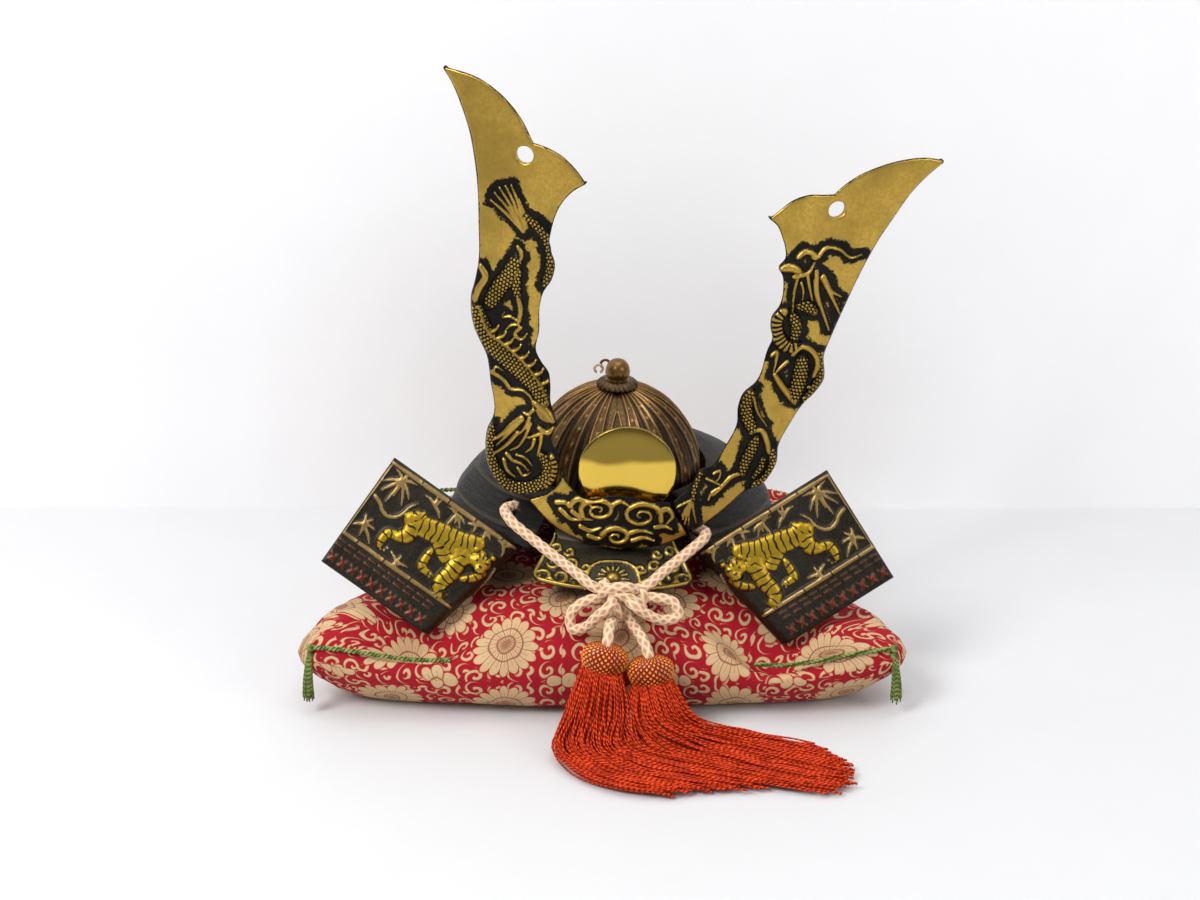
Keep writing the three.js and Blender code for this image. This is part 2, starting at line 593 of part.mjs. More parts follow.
// The crest's base: its lower edge from left to right, as shares like the horns'
const BASE_EDGE = [
  [-0.39, 0.075], [-0.3, 0.033], [-0.22, 0.016], [-0.12, 0.003], [0, 0], [0.1, 0.006], [0.2, 0.02],
  [0.28, 0.045], [0.34, 0.068], [0.232, 0.155], [0.19, 0.118], [0.1, 0.128], [-0.1, 0.128], [-0.18, 0.115],
  [-0.25, 0.165],
];
const CLOUDS = [
  { x: -0.09, z: 0.088, radius: 6, turn: 1 },
  { x: 0.09, z: 0.091, radius: 6.5, turn: -1 },
  { x: 0, z: 0.036, radius: 4.5, turn: 1 },
];
const CLOUD_TAILS = [
  { wide: 1.2, path: [[-0.16, 0.1, 0.6], [-0.2, 0.075, 1], [-0.25, 0.09, 0.5]] },
  { wide: 1.2, path: [[-0.14, 0.05, 0.6], [-0.2, 0.04, 1], [-0.28, 0.07, 0.5]] },
  { wide: 1.2, path: [[0.16, 0.1, 0.6], [0.2, 0.08, 1], [0.23, 0.11, 0.5]] },
  { wide: 1.2, path: [[0.13, 0.05, 0.6], [0.19, 0.045, 1], [0.26, 0.08, 0.5]] },
];

function cloudStroke({ x, z, radius, turn }) {
  const steps = 9;
  const path = Array.from({ length: steps + 1 }, (_, i) => {
    const far = radius * (1 - (0.85 * i) / steps);
    const angle = turn * ((i / steps) * 3 * Math.PI - 0.5 * Math.PI);
    return [x * CREST_REACH + far * Math.cos(angle), z * CREST_HEIGHT + far * 0.8 * Math.sin(angle), 1];
  });
  return { wide: 0.9, path };
}

function makeCrest(group) {
  const slab = sweptSlab(CREST_WALL, 0);
  const grown = CLEARANCE / Math.SQRT2;
  const horns = [-1, 1].map((side) => makeHorn(side, slab));
  const footprints = [-1, 1].map((side) => {
    const { outline } = hornParts(side);
    return blockOf(outline);
  });
  let base = slab.intersect(blockOf(BASE_EDGE.map(([x, z]) => [x * CREST_REACH, z * CREST_HEIGHT])));
  for (const print of footprints)
    for (const [dx, dz] of [[grown, grown], [-grown, grown], [grown, -grown], [-grown, -grown]])
      base = base.subtract(print.translate(dx, 0, dz));
  base = mainBody(base);
  const tails = CLOUD_TAILS.map(({ wide, path }) => ({
    wide,
    path: path.map(([x, z, share]) => [x * CREST_REACH, z * CREST_HEIGHT, share]),
  }));
  base = withStrokes(base, [...CLOUDS.map(cloudStroke), ...tails], 2, CREST_RELIEF * 0.8, crestPlace);
  const disc = new THREE.CylinderGeometry(DISC_RADIUS, DISC_RADIUS, DISC_WALL, 40);
  const behind = crestSweep(DISC_RADIUS) + CREST_WALL + CLEARANCE + DISC_WALL / 2;
  const discSolid = solidOfGeometry(disc, new THREE.Matrix4().makeTranslation(0, behind, DISC_RISE));
  group.add(meshOf("crest_base", base, gold));
  group.add(meshOf("crest_disc", discSolid, gold));
  group.add(meshOf("crest_horn_left", horns[0], gold));
  group.add(meshOf("crest_horn_right", horns[1], gold));
}

// Cushion: a closed pillow, flat underneath. Shares of its half size and of its height, from the bottom
// flat, round the seam, to the crown
const CUSHION_RINGS = [
  { reach: 0.8, height: 0 },
  { reach: 0.93, height: 0.1 },
  { reach: 1, height: 0.44 },
  { reach: 0.96, height: 0.68 },
  { reach: 0.86, height: 0.85 },
  { reach: 0.7, height: 0.95 },
  { reach: 0.45, height: 1 },
  { reach: 0.15, height: 1 },
];
// Where the helmet's plates press the top down: shares of the cushion's width, depth and height
const CUSHION_DIPS = [
  { x: -0.31, y: -0.4, spread: 0.12, depth: 0.34 },
  { x: 0.31, y: -0.4, spread: 0.13, depth: 0.445 },
];
const CUSHION_SQUARENESS = 8;
const CUSHION_COLUMNS = 44;

function cushionPoint(turn, reach, height) {
  const [c, s] = [Math.cos(turn), Math.sin(turn)];
  const sum = Math.abs(c) ** CUSHION_SQUARENESS + Math.abs(s) ** CUSHION_SQUARENESS;
  const round = sum ** (-1 / CUSHION_SQUARENESS);
  const corner = Math.abs(Math.sin(2 * turn)) ** 4;
  const tip = 2 ** (-1 / CUSHION_SQUARENESS);
  const gather = 1 - 0.12 * Math.abs(Math.cos(2 * turn));
  const back = THREE.MathUtils.smoothstep(round * reach * s, -0.9, 0.6);
  const width = CUSHION_WIDTH * THREE.MathUtils.lerp(1, CUSHION_BACK_SHARE, back);
  const x = ((width / 2) * round * reach * c * gather) / tip;
  const y = (CUSHION_DEPTH / 2) * round * reach * s;
  const lift = CORNER_LIFT * corner * THREE.MathUtils.smoothstep(reach, 0.8, 1);
  const press = CUSHION_DIPS.reduce((sum, dip) => {
    const far = Math.hypot(x / CUSHION_WIDTH - dip.x, y / CUSHION_DEPTH - dip.y) / dip.spread;
    return sum + dip.depth * Math.exp(-far * far);
  }, 0);
  const full = 1 - 0.22 * corner * THREE.MathUtils.smoothstep(reach, 0.5, 1) - press;
  const z = CUSHION_HEIGHT * height * full + (height > 0 ? lift * Math.min(1, 2.2 * (1 - height) + 0.4) : 0);
  return new THREE.Vector3(CUSHION_CENTRE_X + x, CUSHION_CENTRE_Y + y, z);
}

function makeCushion() {
  const rings = CUSHION_RINGS.map(({ reach, height }) =>
    Array.from({ length: CUSHION_COLUMNS }, (_, i) => cushionPoint((2 * Math.PI * i) / CUSHION_COLUMNS, reach, height)),
  );
  return meshOf("cushion", loft(rings), brocade);
}

// A point above the cushion's surface between two of its rings, and the way out from it
function aboveCushion(turn, ring, clear) {
  const at = (share, angle) =>
    cushionPoint(
      angle,
      readTable(CUSHION_RINGS, share / (CUSHION_RINGS.length - 1), "reach"),
      readTable(CUSHION_RINGS, share / (CUSHION_RINGS.length - 1), "height"),
    );
  const up = at(ring + 0.2, turn).sub(at(ring - 0.2, turn));
  const round = at(ring, turn + 0.05).sub(at(ring, turn - 0.05));
  return at(ring, turn).addScaledVector(round.cross(up).normalize(), clear);
}

// A tube along a smooth curve through points
function tubeOf(points, diameter, steps, sides = 8) {
  const path = new THREE.CatmullRomCurve3(points, false, "centripetal");
  const ring = new THREE.Shape().absarc(0, 0, diameter / 2, 0, 2 * Math.PI);
  const options = { steps, extrudePath: path, curveSegments: sides / 2, bevelEnabled: false };
  return solidOfGeometry(new THREE.ExtrudeGeometry(ring, options));
}

// Corner ties: a string over the corner and a small tassel that hangs from it
const TIE_RINGS = [3.2, 3.2, 3.15, 3.1, 3, 2.9, 2.75, 2.5];
const TIE_SPREAD = 0.2;

function makeTie(number, turn, way) {
  const clear = STRING_DIAMETER / 2 + CLEARANCE * 3.4;
  const points = TIE_RINGS.map((ring, i) => {
    const share = i / (TIE_RINGS.length - 1);
    return aboveCushion(turn + way * TIE_SPREAD * (1 - share), ring, clear);
  });
  const string = tubeOf(points, STRING_DIAMETER, 10, 8);
  const top = points.at(-1);
  const out = new THREE.Vector3(top.x - CUSHION_CENTRE_X, top.y - CUSHION_CENTRE_Y, 0).normalize();
  const sections = [
    { far: -0.02, wide: 0.9 },
    { far: 0.1, wide: 1.5 },
    { far: 0.25, wide: 1.1 },
    { far: 0.7, wide: 1.8 },
    { far: 0.98, wide: 2.1 },
  ];
  const drop = Math.min(CORNER_TASSEL_LENGTH, top.z - CLEARANCE);
  const rings = sections.map(({ far, wide }) =>
    Array.from({ length: 8 }, (_, i) => {
      const angle = (i * Math.PI) / 4;
      const radius = (STRING_DIAMETER / 2) * wide;
      const spot = top.clone().addScaledVector(out, 1.5 * far);
      const x = spot.x + radius * Math.cos(angle);
      const y = spot.y + radius * Math.sin(angle);
      return new THREE.Vector3(x, y, spot.z - far * drop);
    }),
  );
  return meshOf("corner_tie_" + number, string.add(loft(rings)), greenSilk);
}

const TIES = [
  { turn: 1.25 * Math.PI, way: 1 },
  { turn: 1.75 * Math.PI, way: -1 },
  { turn: 0.25 * Math.PI, way: 1 },
  { turn: 0.75 * Math.PI, way: -1 },
];

// Chin cord and bow
const rollMatrix = new THREE.Matrix4()
  .makeTranslation(0, 0, ROLL_CENTRE_Z)
  .multiply(new THREE.Matrix4().makeRotationY(HELMET_ROLL))
  .multiply(new THREE.Matrix4().makeTranslation(0, 0, -ROLL_CENTRE_Z));
const KNOT = new THREE.Vector3(3, -67.5, 51);

const CORD_POINTS = {
  left: [[-42, -40.5, 72], [-30, -50.5, 65.5], [-16, -60.5, 58.5], [-7, -66.5, 54]],
  right: [[36.6, -44, 65], [31, -50, 62.5], [20, -59, 57.5], [12.5, -65.5, 54]],
  loopLeft: [
    [-11, -68.5, 49], [-17, -69.5, 43.5], [-16.5, -71.5, 38.5],
    [-11, -74, 40.5], [-6.5, -76.5, 46.5], [-2, -77, 51],
  ],
  loopRight: [
    [17, -68.5, 50.5], [24, -69.5, 48.5], [25.5, -71.5, 44.5],
    [20, -74, 43.5], [13, -76.5, 47.5], [8, -77, 51.5],
  ],
  tailLeft: [[0, -72.5, 43], [-1.4, -79, 44.5]],
  tailRight: [[7, -73, 42], [10, -79.5, 40.5]],
  back: [
    [-37, -19, 67], [-42, -6, 63], [-42, 12, 60], [-34, 30, 58], [-16, 43, 57],
    [8, 45, 57], [28, 36, 57], [41, 14, 58], [40, -6, 60], [34, -21, 62],
  ],
};

// Where each cord meets the knot: the way out from its middle, as shares of its half width, depth and height
const KNOT_SPOTS = {
  strandLeft: [-0.72, 0.25, 0.65],
  strandRight: [0.72, 0.25, 0.65],
  loopLeftOut: [-1, -0.1, -0.05],
  loopLeftBack: [-0.45, -0.88, 0.1],
  loopRightOut: [1, -0.1, -0.05],
  loopRightBack: [0.45, -0.88, 0.1],
  tailLeft: [-0.36, -0.25, -0.9],
  tailRight: [0.36, -0.25, -0.9],
};

// Two points that leave the knot straight out of its surface
function fromKnot(name) {
  const size = new THREE.Vector3(KNOT_WIDTH, KNOT_DEPTH, KNOT_HEIGHT).divideScalar(2);
  const way = new THREE.Vector3(...KNOT_SPOTS[name]).normalize();
  const out = way.clone().divide(size).normalize();
  const spot = way.multiply(size).add(KNOT);
  return [CLEARANCE, CORD_DIAMETER / 2].map((far) => spot.clone().addScaledVector(out, far));
}

function toVectors(points) {
  return points.map(([x, y, z]) => new THREE.Vector3(x, y, z));
}

function makeCords(group) {
  const ends = Object.fromEntries(
    Object.entries(CORD_HOLES).map(([name, hole]) => {
      const { spot, out } = guardHole(hole);
      const along = (far) => spot.clone().addScaledVector(out, far).applyMatrix4(rollMatrix);
      const outside = [along(0), along(CORD_DIAMETER / 2)];
      const inside = [along(-CORD_DIAMETER * 1.3), along(-CLEARANCE)];
      return [name, { outside, inside }];
    }),
  );
  const add = (name, points, steps) => {
    group.add(meshOf(name, tubeOf(points, CORD_DIAMETER, steps), peachCord));
  };
  const { left, right, loopLeft, loopRight, tailLeft, tailRight, back } = CORD_POINTS;
  add("cord_left", [...ends.left.outside, ...toVectors(left), ...fromKnot("strandLeft").reverse()], 8);
  add("cord_right", [...ends.right.outside, ...toVectors(right), ...fromKnot("strandRight").reverse()], 7);
  const looped = (out, points, back) => [...fromKnot(out), ...toVectors(points), ...fromKnot(back).reverse()];
  add("bow_loop_left", looped("loopLeftOut", loopLeft, "loopLeftBack"), 12);
  add("bow_loop_right", looped("loopRightOut", loopRight, "loopRightBack"), 12);
  add("cord_tail_left", [...fromKnot("tailLeft"), ...toVectors(tailLeft), ...aboveHead(TASSELS.left)], 5);
  add("cord_tail_right", [...fromKnot("tailRight"), ...toVectors(tailRight), ...aboveHead(TASSELS.right)], 5);
  add("cord_back", [...ends.left.inside.toReversed(), ...toVectors(back), ...ends.right.inside], 20);
}

function makeKnot() {
  const lump = new THREE.SphereGeometry(0.5, 10, 8);
  const size = new THREE.Matrix4().makeScale(KNOT_WIDTH, KNOT_DEPTH, KNOT_HEIGHT);
  return meshOf("bow_knot", solidOfGeometry(lump, size.setPosition(KNOT)), peachCord);
}

// Tassels: a domed head with its skirt in locks that fall down the cushion and sweep over the table
const TASSELS = {
  left: {
    head: [-3.4, -87.5, 35],
    lean: 12,
    locks: [
      [[-7.5, -89, 31], [-20, -97, 15], [-23, -105, 5], [-15, -119, 3.2], [0, -130, 2.9], [22, -136, 2.7]],
      [[-3.5, -89.5, 31], [-12, -99, 15], [-13, -108, 6], [-4, -119, 4], [12, -127, 3.2], [36, -133, 2.7]],
      [[0.5, -89, 32], [-4, -100, 15], [-4, -109, 6], [8, -118, 4], [28, -125, 3.2], [54, -131, 2.7]],
    ],
  },
  right: {
    head: [14.2, -88, 29.8],
    lean: -8,
    locks: [
      [[11, -90, 26.5], [9, -100, 14], [10, -107, 7.5], [24, -112, 5], [52, -121, 4], [84, -133, 2.7]],
      [[14, -90.5, 26], [18, -101, 13], [28, -106, 6.5], [48, -111, 4.5], [70, -119, 3.2], [92, -127, 2.7]],
      [[17.5, -90, 26], [28, -98, 12], [42, -102, 6], [58, -105, 4], [76, -111, 3.2], [92, -116, 2.7]],
      [[19.5, -89, 27], [34, -95, 12], [48, -97, 6], [60, -98, 4], [72, -101, 3.2], [84, -105, 2.7]],
    ],
  },
};
const HEAD_SECTIONS = [
  { rise: 0.5, reach: 0.3 },
  { rise: 0.42, reach: 0.62 },
  { rise: 0.2, reach: 0.92 },
  { rise: -0.1, reach: 1 },
  { rise: -0.38, reach: 0.92 },
  { rise: -0.5, reach: 0.8 },
];

function headMatrix({ head, lean }) {
  return new THREE.Matrix4().makeRotationY(THREE.MathUtils.degToRad(lean)).setPosition(...head);
}

function aboveHead(tassel) {
  return [CORD_DIAMETER / 2, CLEARANCE].map((far) =>
    new THREE.Vector3(0, 0, TASSEL_HEAD_HEIGHT / 2 + far).applyMatrix4(headMatrix(tassel)),
  );
}

function makeTassel(name, tassel) {
  const tilt = headMatrix(tassel);
  const rings = HEAD_SECTIONS.map(({ rise, reach }) =>
    Array.from({ length: 16 }, (_, i) => {
      const angle = (i * Math.PI) / 8;
      const radius = TASSEL_HEAD_RADIUS * reach;
      const across = radius * Math.cos(angle);
      const deep = radius * 0.7 * Math.sin(angle);
      const point = new THREE.Vector3(across, deep, rise * TASSEL_HEAD_HEIGHT);
      return point.applyMatrix4(tilt);
    }),
  );
  let solid = loft(rings);
  for (const lock of tassel.locks) solid = solid.add(makeLock(toVectors(lock)));
  return meshOf(name, solid, redSilk);
}

function makeLock(points) {
  const curve = new THREE.CatmullRomCurve3(points, false, "centripetal");
  const steps = 7;
  const rings = Array.from({ length: steps + 1 }, (_, i) => {
    const share = i / steps;
    const middle = curve.getPoint(share);
    const along = curve.getTangent(share);
    const side = along.clone().cross(new THREE.Vector3(0, -0.5, 1)).normalize();
    const up = side.clone().cross(along).normalize();
    const full = 0.55 + 0.45 * Math.sin(Math.PI * Math.min(share * 1.3 + 0.1, 0.8));
    return Array.from({ length: 7 }, (_, k) => {
      const angle = (k * 2 * Math.PI) / 7;
      const [wide, thick] = [(LOCK_WIDTH / 2) * full, (LOCK_THICKNESS / 2) * (1 - 0.1 * share)];
      const point = middle.clone().addScaledVector(side, wide * Math.cos(angle));
      point.addScaledVector(up, thick * Math.sin(angle));
      point.z = Math.max(point.z, CLEARANCE);
      return point;
    });
  });
  return loft(rings);
}

// The whole ornament
const ornament = new THREE.Group();

const helmet = new THREE.Group();
helmet.applyMatrix4(rollMatrix);
helmet.add(makeBowl(), makeFinial(), makeVisor(), makeGuard([turnbackSeat(-1), turnbackSeat(1)]));
for (const side of [-1, 1]) {
  const plate = meshOf(side < 0 ? "turnback_left" : "turnback_right", makeTurnbackSolid(), bronze);
  plate.applyMatrix4(turnbackMatrix(side));
  helmet.add(plate);
}
ornament.add(helmet);

const crest = new THREE.Group();
crest.position.set(0, -CREST_FORWARD, CREST_FOOT_Z);
crest.rotation.y = CREST_LEAN;
makeCrest(crest);
ornament.add(crest);

ornament.add(makeCushion());
TIES.forEach(({ turn, way }, i) => ornament.add(makeTie(i + 1, turn, way)));

makeCords(ornament);
ornament.add(makeKnot());
for (const side of ["left", "right"]) ornament.add(makeTassel("tassel_" + side, TASSELS[side]));

export default ornament;
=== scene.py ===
"""A samurai helmet ornament on its brocade cushion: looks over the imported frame.

Metres, +Z up, the front faces -Y. Tables and helpers work in millimetres, and MM turns them to metres.
"""

import math

import bmesh
import bpy
import numpy as np
from mathutils import Matrix, Vector, noise


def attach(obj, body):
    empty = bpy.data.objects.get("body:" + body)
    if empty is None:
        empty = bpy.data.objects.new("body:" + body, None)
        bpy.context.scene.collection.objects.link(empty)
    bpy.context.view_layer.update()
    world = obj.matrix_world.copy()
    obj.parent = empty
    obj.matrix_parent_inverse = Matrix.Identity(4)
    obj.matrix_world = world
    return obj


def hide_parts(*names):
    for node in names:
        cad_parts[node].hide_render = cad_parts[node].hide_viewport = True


MM = 0.001
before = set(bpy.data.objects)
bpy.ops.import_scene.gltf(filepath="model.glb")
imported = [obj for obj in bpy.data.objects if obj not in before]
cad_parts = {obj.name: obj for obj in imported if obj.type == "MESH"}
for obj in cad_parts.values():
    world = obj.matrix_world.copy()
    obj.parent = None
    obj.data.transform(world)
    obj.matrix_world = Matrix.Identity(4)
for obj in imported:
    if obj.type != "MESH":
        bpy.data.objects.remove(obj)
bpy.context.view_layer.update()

# Camera, at the photograph's angle
CAMERA_TARGET = Vector((-5.4, 0, 84)) * MM
CAMERA_TILT = math.radians(24)
CAMERA_DISTANCE = 0.95
CAMERA_LENS = 68.4


def make_camera():
    camera = bpy.data.objects.new("camera", bpy.data.cameras.new("camera"))
    bpy.context.scene.collection.objects.link(camera)
    back = Vector((0, -math.cos(CAMERA_TILT), math.sin(CAMERA_TILT)))
    camera.location = CAMERA_TARGET + back * CAMERA_DISTANCE
    camera.rotation_euler = (math.pi / 2 - CAMERA_TILT, 0, 0)
    camera.data.lens = CAMERA_LENS
    camera.data.sensor_width = 36
    bpy.context.scene.camera = camera


make_camera()


# Node building
def make(tree, kind, settings=None, inputs=None):
    """A shader node with its settings and inputs, where an input is a number, a colour or another socket."""
    made = tree.nodes.new(kind)
    for name, value in (settings or {}).items():
        setattr(made, name, value)
    for name, value in (inputs or {}).items():
        socket = made.inputs[name]
        if isinstance(value, bpy.types.NodeSocket):
            tree.links.new(value, socket)
        else:
            socket.default_value = value
    return made


def calc(tree, operation, a, b=0.0, clamp=False):
    inputs = {0: a} if b is None else {0: a, 1: b}
    return make(tree, "ShaderNodeMath", {"operation": operation, "use_clamp": clamp}, inputs).outputs[0]


def times(tree, a, b):
    return calc(tree, "MULTIPLY", a, b)


def plus(tree, a, b):
    return calc(tree, "ADD", a, b)


def minus(tree, a, b, clamp=False):
    return calc(tree, "SUBTRACT", a, b, clamp)


def distance_of(tree, x, y):
    return calc(tree, "SQRT", plus(tree, times(tree, x, x), times(tree, y, y)), None)


def vector_calc(tree, operation, inputs):
    return make(tree, "ShaderNodeVectorMath", {"operation": operation}, inputs).outputs[0]


def stretch(tree, vector, scale, shift=(0, 0, 0)):
    inputs = {"Vector": vector, "Location": shift, "Scale": scale}
    return make(tree, "ShaderNodeMapping", {}, inputs).outputs[0]


def uv_of(tree):
    return make(tree, "ShaderNodeUVMap").outputs[0]


def parts_of(tree, vector):
    return make(tree, "ShaderNodeSeparateXYZ", {}, {0: vector}).outputs


def ramp(tree, value, low, high, start=0.0, end=1.0):
    """A smooth step of a value from low to high, put out from start to end."""
    inputs = {"Value": value, "From Min": low, "From Max": high, "To Min": start, "To Max": end}
    return make(tree, "ShaderNodeMapRange", {"interpolation_type": "SMOOTHSTEP"}, inputs).outputs["Result"]


def blend(tree, share, first, second, mode="MIX"):
    made = make(tree, "ShaderNodeMix", {"data_type": "RGBA", "blend_type": mode})
    for index, value in ((0, share), (6, first), (7, second)):
        if isinstance(value, bpy.types.NodeSocket):
            tree.links.new(value, made.inputs[index])
        else:
            made.inputs[index].default_value = value
    return made.outputs[2]


def attribute(tree, name):
    return make(tree, "ShaderNodeAttribute", {"attribute_name": name}).outputs["Fac"]


def noise_of(tree, vector, scale, detail=2.0, roughness=0.5):
    inputs = {"Vector": vector, "Scale": scale, "Detail": detail, "Roughness": roughness}
    return make(tree, "ShaderNodeTexNoise", {}, inputs).outputs["Fac"]


def place_of(tree):
    return make(tree, "ShaderNodeTexCoord").outputs["Object"]


def group_with(name, inputs, outputs):
    group = bpy.data.node_groups.new(name, "ShaderNodeTree")
    for label, value in inputs.items():
        socket = group.interface.new_socket(name=label, in_out="INPUT", socket_type="NodeSocketFloat")
        socket.default_value = value
    for label in outputs:
        group.interface.new_socket(name=label, in_out="OUTPUT", socket_type="NodeSocketFloat")
    return group, make(group, "NodeGroupInput").outputs, make(group, "NodeGroupOutput").inputs


def make_wear_group():
    """Speckle and slow cloudiness of old cast metal."""
    sizes = {"Speckle Size": 900.0, "Cloud Size": 60.0}
    group, given, out = group_with("metal_wear", sizes, ["Speckle", "Cloud"])
    place = place_of(group)
    speckle = noise_of(group, place, given["Speckle Size"], 3.0, 0.7)
    cloud = noise_of(group, place, given["Cloud Size"], 4.0, 0.6)
    group.links.new(ramp(group, speckle, 0.35, 0.7), out["Speckle"])
    group.links.new(ramp(group, cloud, 0.3, 0.7), out["Cloud"])
    return group


def make_thread_group():
    """Twisted or braided threads along a piece's own UV: U runs round it and V along it, in turns."""
    group, given, out = group_with("thread_lay", {"Round": 3.0, "Along": 1.0}, ["Rise"])
    uv = parts_of(group, uv_of(group))
    turned = times(group, uv[0], given["Round"])
    along = times(group, uv[1], given["Along"])
    lay = calc(group, "SINE", times(group, plus(group, turned, along), 2 * math.pi), None)
    group.links.new(ramp(group, lay, -1.0, 0.6), out["Rise"])
    return group


WEAR = make_wear_group()
THREAD = make_thread_group()


def use(tree, group, values):
    return make(tree, "ShaderNodeGroup", {"node_tree": group}, values).outputs


def finish_of(name):
    material = bpy.data.materials.new(name)
    material.use_nodes = True
    return material, material.node_tree, material.node_tree.nodes["Principled BSDF"]


def bump(tree, height, distance, strength=1.0, normal=None):
    inputs = {"Height": height, "Distance": distance, "Strength": strength}
    if normal is not None:
        inputs["Normal"] = normal
    return make(tree, "ShaderNodeBump", {}, inputs).outputs["Normal"]


# Finishes
GOLD = (0.62, 0.40, 0.075, 1)
OLD_GOLD = (0.36, 0.21, 0.045, 1)
BLACK = (0.012, 0.011, 0.009, 1)
GREY = (0.022, 0.02, 0.017, 1)
TIGER_YELLOW = (0.52, 0.33, 0.022, 1)
LACE_RED = (0.22, 0.02, 0.012, 1)

# Scales, belly plates and stripes on a relief stroke, in mm
SCALE_SIZE = 1.45
BELLY_PITCH = 1.9
STRIPE_PITCH = 2.9


def shade(colour, share):
    return tuple(min(1, share * c) for c in colour[:3]) + (1,)


def make_scale_group():
    """Scales, belly plates or stripes laid along a relief stroke, whose UV is its run and its side in mm."""
    kinds = {"Scales": 0.0, "Belly": 0.0, "Stripes": 0.0}
    group, given, out = group_with("stroke_skin", kinds, ["Rise", "Dark"])
    u, v, _ = parts_of(group, uv_of(group))
    row = calc(group, "DIVIDE", u, SCALE_SIZE)
    shift = times(group, calc(group, "MODULO", calc(group, "FLOOR", row, None), 2.0), 0.5)
    a = minus(group, calc(group, "FRACT", row, None), 0.42)
    b = calc(group, "FRACT", plus(group, calc(group, "DIVIDE", v, SCALE_SIZE), shift), None)
    b = minus(group, b, 0.5)
    far = distance_of(group, a, b)
    scale = ramp(group, far, 0.58, 0.22)
    belly = times(group, calc(group, "DIVIDE", u, BELLY_PITCH), 2 * math.pi)
    belly = calc(group, "SINE", belly, None)
    belly = ramp(group, belly, -0.9, 0.3)
    waver = noise_of(group, place_of(group), 240.0, 1.0)
    bent = plus(group, calc(group, "DIVIDE", u, STRIPE_PITCH), times(group, waver, 1.0))
    stripe = calc(group, "SINE", times(group, bent, 2 * math.pi), None)
    stripe = ramp(group, stripe, 0.62, 0.85, 1.0, 0.0)
    rise = times(group, given["Scales"], scale)
    rise = plus(group, rise, times(group, given["Belly"], belly))
    other = minus(group, 1.0, plus(group, given["Scales"], given["Belly"]), True)
    group.links.new(plus(group, rise, other), out["Rise"])
    group.links.new(times(group, given["Stripes"], minus(group, 1.0, stripe)), out["Dark"])
    return group


SKIN = make_scale_group()


def cast_finish(name, ground, raised, rubbed=0.0, paint=None, roughness=0.3):
    """Cast metal: a dark ground, raised work shown by its tone, partly rubbed gold and partly a painted
    highlight on the crowns, and flat metal where it is bare.
    """
    material, tree, shader = finish_of(name)
    wear = use(tree, WEAR, {"Speckle Size": 1500.0, "Cloud Size": 48.0})
    skin = use(tree, SKIN, {name: attribute(tree, name.lower()) for name in ("Scales", "Belly", "Stripes")})
    # Tone: the raised gold on its dark ground, with a painted highlight on the crowns of strokes and scales
    # and painted shade on their flanks
    tone = attribute(tree, "tone")
    tone = times(tree, tone, plus(tree, times(tree, skin["Rise"], 0.85), 0.15))
    tone = times(tree, tone, minus(tree, 1.0, times(tree, skin["Dark"], 0.97)))
    bare = attribute(tree, "bare")
    ragged = noise_of(tree, place_of(tree), 900.0, 5.0, 0.75)
    slow = noise_of(tree, place_of(tree), 190.0, 3.0, 0.6)
    edge = plus(tree, bare, times(tree, minus(tree, ragged, 0.5), 0.9))
    edge = plus(tree, edge, times(tree, minus(tree, slow, 0.5), 1.3))
    flat = ramp(tree, edge, 0.42, 0.58)
    # Wear and painted highlight: the tone, broken up by ragged noise, decides where the raised metal shows
    rub_and_highlight = plus(tree, tone, times(tree, minus(tree, ragged, 0.5), 0.45))
    wear_and_highlight = times(tree, ramp(tree, rub_and_highlight, 0.32, 0.85), 0.92)
    shine = calc(tree, "MAXIMUM", flat, wear_and_highlight, True)
    pits = ramp(tree, noise_of(tree, place_of(tree), 420.0, 4.0, 0.7), 0.26, 0.34)
    metal = blend(tree, wear["Cloud"], shade(raised, 0.62), raised)
    etched = ramp(tree, noise_of(tree, place_of(tree), 700.0, 6.0, 0.8), 0.42, 0.6, 0.0, 0.4)
    metal = blend(tree, etched, metal, shade(raised, 0.5))
    metal = blend(tree, pits, OLD_GOLD, metal)
    if paint:
        metal = blend(tree, attribute(tree, "paint"), metal, paint)
        metal = blend(tree, attribute(tree, "lace"), metal, LACE_RED)
    dark = blend(tree, wear["Cloud"], ground, shade(ground, 1.7))
    dark = blend(tree, times(tree, wear["Speckle"], rubbed), dark, raised)
    tree.links.new(blend(tree, shine, dark, metal), shader.inputs["Base Color"])
    dull = plus(tree, roughness, times(tree, wear["Speckle"], 0.12))
    tree.links.new(dull, shader.inputs["Roughness"])
    shader.inputs["Metallic"].default_value = 0.95
    first = bump(tree, skin["Rise"], 0.0006, 0.9)
    tree.links.new(bump(tree, ragged, 0.00012, 0.35, first), shader.inputs["Normal"])
    return material


def back_finish(name, dark, light):
    """The plain back of a cast plate."""
    material, tree, shader = finish_of(name)
    wear = use(tree, WEAR, {"Speckle Size": 1300.0, "Cloud Size": 55.0})
    share = times(tree, wear["Cloud"], wear["Speckle"])
    tree.links.new(blend(tree, share, dark, light), shader.inputs["Base Color"])
    shader.inputs["Metallic"].default_value = 0.95
    tree.links.new(ramp(tree, wear["Speckle"], 0, 1, 0.36, 0.5), shader.inputs["Roughness"])
    return material


